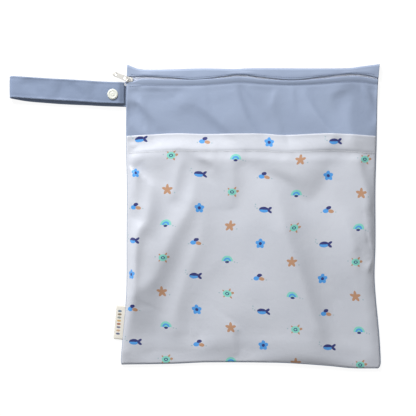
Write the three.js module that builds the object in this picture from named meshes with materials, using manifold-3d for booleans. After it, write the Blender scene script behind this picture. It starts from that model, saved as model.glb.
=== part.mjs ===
// A cloth wet bag for diapers, lying flat with its front up. A blue back panel folds over the top as
// a flap, a white coil zip runs under the flap's edge, a blue front panel closes the main
// compartment, a printed panel makes an open pocket on the front, and a wrist strap is snapped into
// a loop at the left seam. Millimetres, +Z up. The origin is the middle of the back panel's
// underside, +X runs across the bag to the right and +Y runs up the bag to the zip.

import * as THREE from "three";
import { mergeVertices } from "three/addons/utils/BufferGeometryUtils.js";
import Module from "manifold-3d";

// The bag and its cloth.
const bagWidth = 300;
const bagHeight = 354; // from the bottom seam to the top fold
const clothThickness = 1;
const pieceGap = 0.3; // the clearance between neighbouring pieces
const mainPuff = 4.6; // how far the front panel stands off the back panel
const pocketPuff = 4.5; // how far the pocket panel stands off the front panel
const sideReach = 30; // how far in from a seam the cloth still rises
const bottomReach = 32;
const foldWidth = 11; // half the width of a typical fold
const foldHeight = 3;

// The pocket on the front.
const pocketHeight = 275.4; // from the bottom seam to the pocket's top edge
const pocketHemHeight = 20.4;
const pocketWave = 2.2; // how far the top edge strays from a straight line

// The zip.
const zipDrop = 10.8; // from the top fold to the zip's mean line
const zipWave = 5; // how far the flap's edge strays from that line
const coilWidth = 4;
const coilThickness = 1.6;
const tapeThickness = 1;
const lowerTapeWidth = 9;
const zipStitchDrop = 6.5; // from the front panel's top edge to its row of stitches
const zipGroove = 1.2; // how deep those stitches pull the cloth in
const zipEdgeHeight = 3.6; // the zip's mid-plane above the floor, at the seams
const zipMidHeight = 4.6; // and in the middle of the bag
const tapeEndLength = 2.2; // the tape's end that shows outside the left seam
const tapeEndDepth = 4.2;
const yokeReach = 24; // how far below the zip's stitches the cloth still rises

// The zip's slider and its pull.
const sliderLength = 9;
const sliderFrontWidth = 6;
const sliderRearWidth = 4.8;
const plateThickness = 1.2;
const lowerPlateThickness = 1;
const sliderInset = 2.8; // the slider's middle, in from the left seam
const bailWidth = 1;
const bailThickness = 0.8;
const bailInnerLength = 3.6;
const bailForward = 1.2; // from the slider's middle towards its leading end
const pullLength = 20; // from the rod that it turns on to its tip
const pullWidth = 6;
const pullThickness = 1;
const pullRodDiameter = 1.1;
const pullEyeWidth = 4.1;
const pullEyeLength = 6.2;
const pullHoleDiameter = 2.6;
const pullHoleInset = 4; // from the tip to the hole's middle
const pullYaw = 22; // degrees that the pull is turned from the zip's line

// The strap and its snap.
const strapWidth = 25.2;
const strapThickness = 1.5;
const strapReach = 139; // from the left seam to the loop's fold
const strapInset = 8; // the end that is sewn into the seam
const strapDrop = 32.4; // from the top fold to the strap's middle at the seam
const loopHeight = 6.9; // between the mid-planes of the strap's two layers
const strapEndGap = 2.7; // from the seam to the strap's free end
const snapPlace = 16.4; // from the seam to the snap's middle
const snapCapDiameter = 12.8;
const snapCapThickness = 1.5;
const snapPartDiameter = 10;
const snapPostDiameter = 2.4;
const socketThickness = 2;
const studBaseThickness = 1;
const studBallDiameter = 4.4;
const studBallHeight = 1.6;

// The label in the left seam.
const labelHeight = 40;
const labelReach = 10.8;
const labelInset = 7;
const labelThickness = 1;
const labelPlace = 49; // from the bottom seam to the label's middle

const seamUnderside = clothThickness + pieceGap; // the lowest that cloth lies on the back panel
const bottomY = -bagHeight / 2;
const topY = bagHeight / 2;

// The seams' shape. `at` runs up the bag; left and right are how far out each seam strays, as
// shares of the bag's width.
const sideSeams = [
  { at: 0, left: 0.021, right: 0.006 },
  { at: 0.013, left: 0.0224, right: 0.018 },
  { at: 0.075, left: 0.0168, right: 0.0145 },
  { at: 0.15, left: 0.009, right: 0.007 },
  { at: 0.22, left: 0.002, right: -0.001 },
  { at: 0.3, left: -0.001, right: -0.0065 },
  { at: 0.4, left: -0.001, right: -0.0028 },
  { at: 0.6, left: -0.002, right: -0.0028 },
  { at: 0.75, left: 0.002, right: 0.002 },
  { at: 0.9, left: 0.001, right: 0.005 },
  { at: 0.97, left: -0.001, right: 0.0085 },
  { at: 1.02, left: -0.003, right: 0.0136 },
];

// `at` runs across the bag from left to right in the tables below. A drop or rise is a share of
// the bag's height.
const bottomSeam = [
  { at: 0, drop: 0.0027 },
  { at: 0.2, drop: 0 },
  { at: 0.33, drop: -0.0047 },
  { at: 0.6, drop: -0.0034 },
  { at: 0.7, drop: 0.001 },
  { at: 0.8, drop: 0.0075 },
  { at: 0.9, drop: 0.0155 },
  { at: 1, drop: 0.0163 },
];
const topFold = [
  { at: 0, rise: 0.0163 },
  { at: 0.038, rise: 0.0034 },
  { at: 0.07, rise: -0.0006 },
  { at: 0.17, rise: 0 },
  { at: 0.3, rise: 0.0034 },
  { at: 0.42, rise: 0.0014 },
  { at: 0.5, rise: 0.004 },
  { at: 0.87, rise: 0.004 },
  { at: 0.935, rise: 0.0108 },
  { at: 1, rise: 0.0183 },
];

// The flap's edge and the middle of the coil, as shares of zipWave above the zip's mean line.
const zipLine = [
  { at: 0, flap: 0.44, coil: -0.36 },
  { at: 0.07, flap: 0.5, coil: -0.06 },
  { at: 0.16, flap: 0.24, coil: -0.22 },
  { at: 0.28, flap: -0.48, coil: -0.28 },
  { at: 0.39, flap: 0.58, coil: 0.2 },
  { at: 0.445, flap: 0.96, coil: 0.46 },
  { at: 0.54, flap: -0.08, coil: -0.24 },
  { at: 0.66, flap: -0.7, coil: -0.58 },
  { at: 0.77, flap: 0, coil: -0.16 },
  { at: 0.87, flap: 1.06, coil: 0.5 },
  { at: 0.93, flap: 1, coil: 0.48 },
  { at: 1, flap: 0.14, coil: -0.22 },
];

// The pocket's top edge, as shares of pocketWave.
const pocketEdge = [
  { at: 0, rise: -1 },
  { at: 0.066, rise: -0.45 },
  { at: 0.2, rise: 0.45 },
  { at: 0.31, rise: 0.05 },
  { at: 0.45, rise: 0.3 },
  { at: 0.55, rise: 0.25 },
  { at: 0.625, rise: -0.5 },
  { at: 0.82, rise: 0.35 },
  { at: 1, rise: -1 },
];

// Each fold is a soft ridge from one place over a bend to another. Places are shares of the bag's
// width and height; wide and high are shares of foldWidth and foldHeight.
const pocketFolds = [
  { x0: 0.278, y0: 0.692, x1: 0.174, y1: 0.481, x2: 0.03, y2: 0.217, wide: 1, high: 1 },
  { x0: 0.142, y0: 0.675, x1: 0.082, y1: 0.539, x2: 0.026, y2: 0.386, wide: 0.8, high: 0.6 },
  { x0: 0.286, y0: 0.427, x1: 0.214, y1: 0.258, x2: 0.166, y2: 0.115, wide: 1, high: 0.55 },
  { x0: 0.606, y0: 0.522, x1: 0.67, y1: 0.336, x2: 0.75, y2: 0.064, wide: 1, high: 0.8 },
  { x0: 0.526, y0: 0.692, x1: 0.63, y1: 0.637, x2: 0.71, y2: 0.563, wide: 0.8, high: 0.5 },
  { x0: 0.878, y0: 0.692, x1: 0.814, y1: 0.617, x2: 0.758, y2: 0.536, wide: 0.8, high: 0.5 },
  { x0: 0.446, y0: 0.251, x1: 0.418, y1: 0.132, x2: 0.41, y2: 0.02, wide: 0.8, high: 0.45 },
  { x0: 0.974, y0: 0.698, x1: 0.942, y1: 0.607, x2: 0.978, y2: 0.488, wide: 0.8, high: 0.7 },
  { x0: 0.986, y0: 0.427, x1: 0.918, y1: 0.386, x2: 0.942, y2: 0.292, wide: 0.8, high: 0.6 },
];
const yokeFolds = [
  { x0: 0.022, y0: 0.902, x1: 0.066, y1: 0.875, x2: 0.082, y2: 0.78, wide: 0.8, high: 0.4 },
  { x0: 0.182, y0: 0.84, x1: 0.254, y1: 0.892, x2: 0.39, y2: 0.806, wide: 0.9, high: 0.5 },
  { x0: 0.438, y0: 0.936, x1: 0.466, y1: 0.854, x2: 0.502, y2: 0.786, wide: 0.8, high: 0.4 },
  { x0: 0.71, y0: 0.936, x1: 0.754, y1: 0.854, x2: 0.802, y2: 0.786, wide: 0.8, high: 0.45 },
  { x0: 0.902, y0: 0.915, x1: 0.91, y1: 0.861, x2: 0.938, y2: 0.793, wide: 0.8, high: 0.5 },
];

// The strap's middle line. `at` runs from the seam, 0, to the loop's fold, 1. lift is how far the
// back layer lies above the floor as a share of its height at the snap; backSide and frontSide are
// how far each layer's middle lies up the bag from its height at the seam, as shares of strapWidth.
const strapLine = [
  { at: 0, lift: 0.85, backSide: 0, frontSide: 0.155 },
  { at: 0.12, lift: 1, backSide: 0.01, frontSide: 0.17 },
  { at: 0.24, lift: 0.5, backSide: 0.03, frontSide: 0.19 },
  { at: 0.36, lift: 0, backSide: 0.06, frontSide: 0.23 },
  { at: 0.6, lift: 0, backSide: 0.12, frontSide: 0.29 },
  { at: 0.85, lift: 0, backSide: 0.24, frontSide: 0.37 },
  { at: 1, lift: 0, backSide: 0.4, frontSide: 0.43 },
];

const clamp = THREE.MathUtils.clamp;
const lerp = THREE.MathUtils.lerp;
const smooth = (share) => THREE.MathUtils.smoothstep(share, 0, 1);

// A smooth curve through one column of a table.
function follow(table, column, at) {
  const last = table.length - 1;
  let i = 0;
  while (i < last - 1 && at > table[i + 1].at) i += 1;
  const slope = (k) => {
    const before = table[Math.max(k - 1, 0)];
    const after = table[Math.min(k + 1, last)];
    return (after[column] - before[column]) / (after.at - before.at);
  };
  const span = table[i + 1].at - table[i].at;
  const t = clamp((at - table[i].at) / span, 0, 1);
  const start = (1 + 2 * t) * (1 - t) ** 2 * table[i][column];
  const end = t * t * (3 - 2 * t) * table[i + 1][column];
  const leaving = t * (1 - t) ** 2 * span * slope(i);
  const arriving = t * t * (t - 1) * span * slope(i + 1);
  return start + end + leaving + arriving;
}

// How far cloth has risen, from 0 at a seam to 1 at its reach.
const swell = (distance, reach) => Math.sin((clamp(distance / reach, 0, 1) * Math.PI) / 2);

// Lines across the bag, each giving the height up the bag at a place across it.
const bottomLine = (across) => bottomY - bagHeight * follow(bottomSeam, "drop", across);
const topLine = (across) => topY + bagHeight * follow(topFold, "rise", across);
const pocketLine = (across) => bottomY + pocketHeight + pocketWave * follow(pocketEdge, "rise", across);
const pocketStitchLine = (across) => pocketLine(across) - pocketHemHeight;
const coilLine = (across) => topY - zipDrop + zipWave * follow(zipLine, "coil", across);
const flapRise = (across) => zipWave * follow(zipLine, "flap", across);

// The slider needs more room between the flap and the front panel than the coil alone.
const sliderFarEnd = sliderInset + sliderLength / 2 + pieceGap;
function besideSlider(across) {
  const past = across * bagWidth - sliderFarEnd;
  return 1 - smooth(past / sliderLength);
}
function edgeRoom(across) {
  const forCoil = coilWidth / 2 + pieceGap;
  const forSlider = sliderFrontWidth / 2 + pieceGap;
  return lerp(forCoil, Math.max(forCoil, forSlider), besideSlider(across));
}
const hemLine = (across) => coilLine(across) - edgeRoom(across);
const zipStitchLine = (across) => hemLine(across) - zipStitchDrop;
function flapLine(across) {
  const wavy = topY - zipDrop + flapRise(across);
  const lowest = hemLine(across) + 2 * pieceGap;
  const clearOfSlider = coilLine(across) + edgeRoom(across);
  return Math.max(wavy, lerp(lowest, clearOfSlider, besideSlider(across)));
}

// The left and right seams at a height up the bag, and a place across the bag between them.
function placeAcross(across, y) {
  const up = (y - bottomY) / bagHeight;
  const left = -bagWidth * (0.5 + follow(sideSeams, "left", up));
  const right = bagWidth * (0.5 + follow(sideSeams, "right", up));
  return lerp(left, right, across);
}
const fromSide = (across) => Math.min(across, 1 - across) * bagWidth;

// The height of the folds at a place on the bag.
function foldsAt(folds, across, y) {
  const point = new THREE.Vector2(across * bagWidth, y - bottomY);
  let height = 0;
  for (const fold of folds) {
    const path = [
      new THREE.Vector2(fold.x0 * bagWidth, fold.y0 * bagHeight),
      new THREE.Vector2(fold.x1 * bagWidth, fold.y1 * bagHeight),
      new THREE.Vector2(fold.x2 * bagWidth, fold.y2 * bagHeight),
    ];
    const distance = Math.min(
      distanceToStretch(point, path[0], path[1]),
      distanceToStretch(point, path[1], path[2]),
    );
    height += fold.high * foldHeight * Math.exp(-((distance / (fold.wide * foldWidth)) ** 2));
  }
  return height;
}
function distanceToStretch(point, from, to) {
  const along = to.clone().sub(from);
  const share = clamp(point.clone().sub(from).dot(along) / along.lengthSq(), 0, 1);
  return point.distanceTo(from.clone().addScaledVector(along, share));
}

// The zip's mid-plane. It lies lower at the seams.
const zipHeight = (across) => lerp(zipEdgeHeight, zipMidHeight, smooth(fromSide(across) / sideReach));

// What is sewn into the left seam holds the front panel up there.
const strapY = topY - strapDrop;
const labelY = bottomY + labelPlace;
function seamLift(across, y) {
  const rowSpacing = 12;
  const fade = 14;
  const zone = (middle, half) => smooth((half + rowSpacing + fade - Math.abs(y - middle)) / fade);
  const onTape = smooth((y - hemLine(across) + lowerTapeWidth + rowSpacing + fade) / fade);
  const overTape = (tapeThickness + pieceGap) * onTape;
  const strap = (strapThickness + pieceGap + overTape) * zone(strapY, strapWidth / 2);
  const label = (labelThickness + pieceGap) * zone(labelY, labelHeight / 2);
  const inward = 1 - smooth((across * bagWidth - strapInset - pieceGap) / sideReach);
  return Math.max(strap, label) * inward;
}

// The underside of the front panel.
function frontUnderside(across, y) {
  const side = fromSide(across);
  const below = hemLine(across) - y;
  const body = mainPuff * swell(side, sideReach) * swell(y - bottomLine(across), bottomReach);
  const atZip = zipHeight(across) + tapeThickness / 2 + pieceGap - seamUnderside;
  const atStitches = atZip - zipGroove;
  const yoke = foldsAt(yokeFolds, across, y);
  const yokeShare =
    smooth((below - zipStitchDrop) / (yokeReach / 2)) * smooth((y - pocketLine(across)) / foldWidth);
  const nearZip = lerp(atZip, atStitches, smooth(below / zipStitchDrop));
  const hollow = lerp(nearZip, body, smooth((below - zipStitchDrop) / yokeReach));
  const seamShare = swell(side, foldWidth);
  return seamUnderside + Math.max(hollow, seamLift(across, y)) + yoke * yokeShare * seamShare;
}
const frontTop = (across, y) => frontUnderside(across, y) + clothThickness;

// The underside of the pocket panel.
function pocketUnderside(across, y) {
  const up = y - bottomLine(across);
  const side = fromSide(across);
  const puff = pocketPuff * swell(side, sideReach) * swell(up, bottomReach);
  const edges = swell(side, foldWidth) * swell(up, foldWidth);
  const belowHem = smooth((pocketStitchLine(across) - y) / foldWidth);
  return frontTop(across, y) + pieceGap + puff + foldsAt(pocketFolds, across, y) * edges * belowHem;
}
function pocketTop(across, y) {
  const aboveStitches = y - pocketStitchLine(across);
  const hem = clothThickness * smooth(aboveStitches / (pocketHemHeight / 4));
  return pocketUnderside(across, y) + clothThickness + hem;
}

// Places across the bag, closer together near the seams.
const seamColumns = [0, 0.01, 0.03, 0.065];
const middleCells = 19;
const columns = [...seamColumns];
for (let i = 1; i < middleCells; i += 1) {
  columns.push(lerp(seamColumns[3], 1 - seamColumns[3], i / middleCells));
}
columns.push(...seamColumns.map((share) => 1 - share).reverse());

// Rows of cloth from one line to the next, each a height up the bag at a place across it.
const rowsBetween = (from, to, shares) => shares.map((share) => (across) => lerp(from(across), to(across), share));
const evenShares = (cells) => Array.from({ length: cells }, (_, i) => (i + 1) / cells);
const pocketRows = [
  ...rowsBetween(bottomLine, pocketStitchLine, [0, 0.013, 0.035, 0.07, 0.12]),
  ...rowsBetween(bottomLine, pocketStitchLine, evenShares(14).map((share) => lerp(0.12, 1, share))),
  ...rowsBetween(pocketStitchLine, pocketLine, [0.28, 1]),
];
const frontRows = [
  ...pocketRows,
  ...rowsBetween(pocketLine, zipStitchLine, evenShares(6)),
  ...rowsBetween(zipStitchLine, hemLine, [0.5, 1]),
];

// A closed sheet between two grids of points that have as many rows and columns as each other.
function closedSheet(upper, lower) {
  const rows = upper.length;
  const across = upper[0].length;
  const points = [...upper.flat(), ...lower.flat()];
  const top = (r, c) => r * across + c;
  const under = (r, c) => rows * across + r * across + c;
  const faces = [];
  const quad = (a, b, c, d) => faces.push(a, b, c, a, c, d);
  for (let r = 0; r < rows - 1; r += 1) {
    for (let c = 0; c < across - 1; c += 1) {
      quad(top(r, c), top(r, c + 1), top(r + 1, c + 1), top(r + 1, c));
      quad(under(r, c), under(r + 1, c), under(r + 1, c + 1), under(r, c + 1));
    }
    quad(top(r, 0), top(r + 1, 0), under(r + 1, 0), under(r, 0));
    quad(top(r + 1, across - 1), top(r, across - 1), under(r, across - 1), under(r + 1, across - 1));
  }
  for (let c = 0; c < across - 1; c += 1) {
    quad(top(0, c + 1), top(0, c), under(0, c), under(0, c + 1));
    quad(top(rows - 1, c), top(rows - 1, c + 1), under(rows - 1, c + 1), under(rows - 1, c));
  }
  const geometry = new THREE.BufferGeometry().setFromPoints(points);
  geometry.setIndex(faces);
  return facingOut(geometry);
}
function facingOut(geometry) {
  const p = geometry.attributes.position;
  const index = geometry.index.array;
  const corner = (i) => new THREE.Vector3().fromBufferAttribute(p, index[i]);
  let volume = 0;
  for (let i = 0; i < index.length; i += 3) {
    volume += corner(i).dot(corner(i + 1).cross(corner(i + 2)));
  }
  if (volume < 0) {
    for (let i = 0; i < index.length; i += 3) {
      [index[i + 1], index[i + 2]] = [index[i + 2], index[i + 1]];
    }
  }
  return geometry;
}
const gridOf = (rows, places, height) =>
  rows.map((row) =>
    places.map((across) => {
      const y = row(across);
      return new THREE.Vector3(placeAcross(across, y), y, height(across, y));
    }),
  );

// Solids that are joined or cut.
const wasm = await Module();
wasm.setup();
function solidOf(geometry) {
  const bare = new THREE.BufferGeometry();
  bare.setAttribute("position", geometry.attributes.position);
  if (geometry.index) bare.setIndex(geometry.index);
  const merged = mergeVertices(bare, 1e-4);
  return new wasm.Manifold(
    new wasm.Mesh({
      numProp: 3,
      vertProperties: new Float32Array(merged.attributes.position.array),
      triVerts: new Uint32Array(merged.index.array),
    }),
  );
}
function geometryOf(solid) {
  const mesh = solid.getMesh();
  const geometry = new THREE.BufferGeometry();
  geometry.setAttribute("position", new THREE.BufferAttribute(new Float32Array(mesh.vertProperties), 3));
  geometry.setIndex(new THREE.BufferAttribute(new Uint32Array(mesh.triVerts), 1));
  return geometry;
}
function upright(radius, height, x, y, fromZ, sides = 20) {
  const cylinder = new THREE.CylinderGeometry(radius, radius, height, sides);
  return cylinder.rotateX(Math.PI / 2).translate(x, y, fromZ + height / 2);
}
function boxOf(length, width, height, x, y, fromZ) {
  return new THREE.BoxGeometry(length, width, height).translate(x, y, fromZ + height / 2);
}

// The back panel lies on the floor, turns over at the top and comes back as the flap.
function backPanel() {
  const flapTop = (across) => zipHeight(across) + coilThickness / 2 + pieceGap + clothThickness;
  const rollLine = (across) => topLine(across) - flapTop(across) / 2;
  const floorRows = rowsBetween(bottomLine, rollLine, sideSeams.map((row) => Math.min(row.at, 1)).slice(0, -1));
  const outer = gridOf(floorRows, columns, () => 0);
  const inner = gridOf(floorRows, columns, () => clothThickness);
  const turnCells = 8;
  for (let i = 0; i <= turnCells; i += 1) {
    const angle = (i / turnCells) * Math.PI - Math.PI / 2;
    const turned = (inset) =>
      columns.map((across) => {
        const middle = flapTop(across) / 2;
        const radius = middle - inset;
        const y = rollLine(across) + radius * Math.cos(angle);
        return new THREE.Vector3(placeAcross(across, y), y, middle + radius * Math.sin(angle));
      });
    outer.push(turned(0));
    inner.push(turned(clothThickness));
  }
  const flapRows = rowsBetween(rollLine, flapLine, evenShares(3));
  outer.push(...gridOf(flapRows, columns, flapTop));
  inner.push(...gridOf(flapRows, columns, (across) => flapTop(across) - clothThickness));
  return closedSheet(outer, inner);
}

const frontPanel = () =>
  closedSheet(gridOf(frontRows, columns, frontTop), gridOf(frontRows, columns, frontUnderside));
const pocketPanel = () =>
  closedSheet(gridOf(pocketRows, columns, pocketTop), gridOf(pocketRows, columns, pocketUnderside));

// The zip's two tapes lie beside the coil, one under the flap and one under the front panel.
const coilEdge = coilWidth / 2 + pieceGap;
function upperTape() {
  const outerEdge = (across) => {
    const fold = zipHeight(across) + coilThickness / 2 + pieceGap + clothThickness;
    return topLine(across) - fold / 2 - pieceGap;
  };
  const rows = rowsBetween((across) => coilLine(across) + coilEdge, outerEdge, [0, 1]);
  const inside = columns.map((across) => lerp(seamColumns[1] / 2, 1 - seamColumns[1] / 2, across));
  const level = (side) => (across) => zipHeight(across) + (side * tapeThickness) / 2;
  return closedSheet(gridOf(rows, inside, level(1)), gridOf(rows, inside, level(-1)));
}
function lowerTape() {
  const start = (across) => coilLine(across) - coilEdge;
  const end = (across) => hemLine(across) - lowerTapeWidth;
  const rows = [start, hemLine, zipStitchLine, end];
  const inside = columns.filter((across) => across > 0);
  const top = (across, y) => Math.min(zipHeight(across) + tapeThickness / 2, frontUnderside(across, y) - pieceGap);
  return closedSheet(
    gridOf(rows, inside, top),
    gridOf(rows, inside, (across, y) => top(across, y) - tapeThickness),
  );
}
// The end of the lower tape is left sticking out of the seam, above the strap.
function tapeEnd() {
  const across = seamColumns[1];
  const y = coilLine(0) - coilEdge;
  const inner = placeAcross(across, y) - pieceGap;
  const outer = placeAcross(0, y) - tapeEndLength;
  const low = zipHeight(0) - tapeThickness / 2;
  return boxOf(inner - outer, tapeEndDepth, tapeThickness, (inner + outer) / 2, y - tapeEndDepth / 2, low);
}
const sliderX = placeAcross(0, coilLine(0)) + sliderInset;
const neckLength = 1.8;
function coil() {
  const halfSlider = sliderLength / 2;
  const startX = sliderX - halfSlider + neckLength + 2 * pieceGap;
  const start = (startX - placeAcross(0, coilLine(0))) / bagWidth;
  const inside = [start, ...columns.filter((across) => across > start && across < 1 - seamColumns[1] / 2)];
  const rows = rowsBetween(
    (across) => coilLine(across) - coilWidth / 2,
    (across) => coilLine(across) + coilWidth / 2,
    [0, 0.25, 0.75, 1],
  );
  const thickness = (across, y) => {
    const off = Math.abs(y - coilLine(across)) / (coilWidth / 2);
    return (coilThickness / 2) * (off > 0.9 ? 0.5 : 1);
  };
  return closedSheet(
    gridOf(rows, inside, (across, y) => zipHeight(across) + thickness(across, y)),
    gridOf(rows, inside, (across, y) => zipHeight(across) - thickness(across, y)),
  );
}

// The slider: two plates joined by a neck at the end that leads, and an arched bail for the pull.
const plateGap = coilThickness + 2 * pieceGap;
const sliderY = coilLine(sliderInset / bagWidth);
const sliderZ = zipHeight(sliderInset / bagWidth);
const plateTop = sliderZ + plateGap / 2 + plateThickness;
const bailX = sliderX - bailForward;
const rodRoom = pullRodDiameter + 2 * pieceGap;
function slider() {
  const half = sliderLength / 2;
  const outline = new THREE.Shape();
  outline.moveTo(-half, -sliderFrontWidth / 3);
  outline.quadraticCurveTo(-half, -sliderFrontWidth / 2, -half / 2, -sliderFrontWidth / 2);
  outline.lineTo(half, -sliderRearWidth / 2);
  outline.lineTo(half, sliderRearWidth / 2);
  outline.lineTo(-half / 2, sliderFrontWidth / 2);
  outline.quadraticCurveTo(-half, sliderFrontWidth / 2, -half, sliderFrontWidth / 3);
  const plate = (thickness, fromZ) =>
    new THREE.ExtrudeGeometry(outline, { depth: thickness, bevelEnabled: false, curveSegments: 4 }).translate(
      sliderX,
      sliderY,
      fromZ,
    );
  const upper = solidOf(plate(plateThickness, sliderZ + plateGap / 2));
  const lower = solidOf(plate(lowerPlateThickness, sliderZ - plateGap / 2 - lowerPlateThickness));
  const overlap = 0.2;
  const neckX = sliderX - half + neckLength / 2 + pieceGap;
  const neckWidth = coilWidth / 2;
  const neck = solidOf(
    boxOf(neckLength, neckWidth, plateGap + 2 * overlap, neckX, sliderY, sliderZ - plateGap / 2 - overlap),
  );
  return geometryOf(upper.add(lower).add(neck).add(solidOf(bail(overlap))));
}
function bail(overlap) {
  const inner = bailInnerLength / 2;
  const outer = inner + bailThickness;
  const rise = rodRoom + bailThickness;
  const arch = new THREE.Shape();
  arch.moveTo(-outer, -overlap);
  arch.lineTo(-outer, rise / 2);
  arch.quadraticCurveTo(-outer, rise, -inner / 2, rise);
  arch.lineTo(inner / 2, rise);
  arch.quadraticCurveTo(outer, rise, outer, rise / 2);
  arch.lineTo(outer, -overlap);
  arch.lineTo(inner, -overlap);
  arch.lineTo(inner, rodRoom);
  arch.lineTo(-inner, rodRoom);
  arch.lineTo(-inner, -overlap);
  const made = new THREE.ExtrudeGeometry(arch, { depth: bailWidth, bevelEnabled: false, curveSegments: 4 });
  return made.rotateX(Math.PI / 2).translate(bailX, sliderY + bailWidth / 2, plateTop);
}

// The pull hangs on the bail by a rod. Its own frame has the rod on the Y axis and its tip on +X.
const pullAxisZ = plateTop + pieceGap + pullRodDiameter / 2;
function pull() {
  const half = pullWidth / 2;
  const outline = new THREE.Shape();
  outline.moveTo(0, -half);
  outline.lineTo(pullLength - half, -half);
  outline.absarc(pullLength - half, 0, half, -Math.PI / 2, Math.PI / 2, false);
  outline.lineTo(0, half);
  const hole = new THREE.Path();
  hole.absarc(pullLength - pullHoleInset, 0, pullHoleDiameter / 2, 0, 2 * Math.PI, true);
  outline.holes.push(hole);
  const blade = new THREE.ExtrudeGeometry(outline, {
    depth: pullThickness,
    bevelEnabled: false,
    curveSegments: 10,
  }).translate(0, 0, -pullThickness / 2);
  const eyeStart = -pullRodDiameter;
  const eyeCut = new THREE.BoxGeometry(pullEyeLength - eyeStart, pullEyeWidth, 2 * pullThickness);
  eyeCut.translate((pullEyeLength + eyeStart) / 2, 0, 0);
  const rod = new THREE.CylinderGeometry(pullRodDiameter / 2, pullRodDiameter / 2, pullWidth, 12);
  return geometryOf(solidOf(blade).subtract(solidOf(eyeCut)).add(solidOf(rod)));
}

// The strap leaves the seam, lies on the floor, turns over and comes back to the snap.
const snapBackHeight = snapCapThickness + pieceGap + strapThickness / 2;
const snapStack = pieceGap + studBaseThickness + pieceGap + socketThickness + pieceGap;
const snapFrontHeight = snapBackHeight + snapStack + strapThickness;
const seamX = placeAcross(0, strapY);
const backHeight = (share) =>
  strapThickness / 2 + (snapBackHeight - strapThickness / 2) * clamp(follow(strapLine, "lift", share), 0, 1);
const snapShare = snapPlace / strapReach;
function frontHeight(share) {
  const level = strapThickness / 2 + loopHeight;
  const nearSnap = 1 - smooth((share - 2 * snapShare) / (1 - 2 * snapShare));
  return lerp(level, snapFrontHeight, nearSnap);
}
function strapRoute() {
  const turnRadius = loopHeight / 2;
  const turnStart = 1 - (turnRadius + strapThickness / 2) / strapReach;
  const shares = strapLine.map((row) => row.at).filter((at) => at > 0 && at < turnStart);
  const point = (share, column, height) => ({
    x: seamX - share * strapReach,
    y: strapY + strapWidth * follow(strapLine, column, share),
    z: height,
  });
  const snapFlat = snapCapDiameter / 2 / strapReach;
  const backShares = [...shares, snapShare - snapFlat, snapShare + snapFlat].sort((a, b) => a - b);
  const route = [{ x: seamX + strapInset, y: strapY, z: seamUnderside + strapThickness / 2 }];
  route.push({ x: seamX, y: strapY, z: seamUnderside + strapThickness / 2 });
  for (const share of backShares) {
    const flat = Math.abs(share - snapShare) <= snapFlat + 1e-9;
    route.push(point(share, "backSide", flat ? snapBackHeight : backHeight(share)));
  }
  const turnCells = 8;
  for (let i = 0; i <= turnCells; i += 1) {
    const angle = (i / turnCells) * Math.PI;
    const middle = strapThickness / 2 + turnRadius;
    const side = lerp(
      follow(strapLine, "backSide", turnStart),
      follow(strapLine, "frontSide", turnStart),
      i / turnCells,
    );
    route.push({
      x: seamX - turnStart * strapReach - turnRadius * Math.sin(angle),
      y: strapY + strapWidth * side,
      z: middle - turnRadius * Math.cos(angle),
    });
  }
  for (const share of [...backShares].reverse()) {
    const flat = Math.abs(share - snapShare) <= snapFlat + 1e-9;
    route.push(point(share, "frontSide", flat ? snapFrontHeight : frontHeight(share)));
  }
  const endShare = strapEndGap / strapReach;
  route.push(point(endShare, "frontSide", snapFrontHeight - pieceGap));
  return route;
}
function strap() {
  const route = strapRoute();
  const upper = [];
  const lower = [];
  route.forEach((at, i) => {
    const before = route[Math.max(i - 1, 0)];
    const after = route[Math.min(i + 1, route.length - 1)];
    const along = new THREE.Vector2(after.x - before.x, after.z - before.z).normalize();
    const row = (side) =>
      [-0.5, 0.5].map(
        (edge) =>
          new THREE.Vector3(
            at.x - (side * along.y * strapThickness) / 2,
            at.y + edge * strapWidth,
            at.z + (side * along.x * strapThickness) / 2,
          ),
      );
    upper.push(row(1));
    lower.push(row(-1));
  });
  const holeRadius = snapPostDiameter / 2 + pieceGap;
  const [x, y] = snapCentre();
  const backHole = upright(holeRadius, 2 * strapThickness, x, y, snapBackHeight - strapThickness);
  const frontHole = upright(holeRadius, 2 * strapThickness, x, y, snapFrontHeight - strapThickness);
  return geometryOf(
    solidOf(closedSheet(upper, lower)).subtract(solidOf(backHole)).subtract(solidOf(frontHole)),
  );
}

// The snap's four parts share one axis, so the holes in both layers of the strap do too.
function snapCentre() {
  const side = (follow(strapLine, "backSide", snapShare) + follow(strapLine, "frontSide", snapShare)) / 2;
  return [seamX - snapPlace, strapY + strapWidth * side];
}
function turnedPart(profile, fromZ, flip = 1) {
  const points = profile.map(([radius, height]) => new THREE.Vector2(radius, height));
  const part = new THREE.LatheGeometry(points, 24).rotateX(Math.PI / 2);
  if (flip < 0) part.rotateX(Math.PI);
  const [x, y] = snapCentre();
  return facingOutSolid(part.translate(x, y, fromZ));
}
function facingOutSolid(geometry) {
  geometry.deleteAttribute("normal");
  geometry.deleteAttribute("uv");
  return facingOut(mergeVertices(geometry, 1e-4));
}
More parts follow.
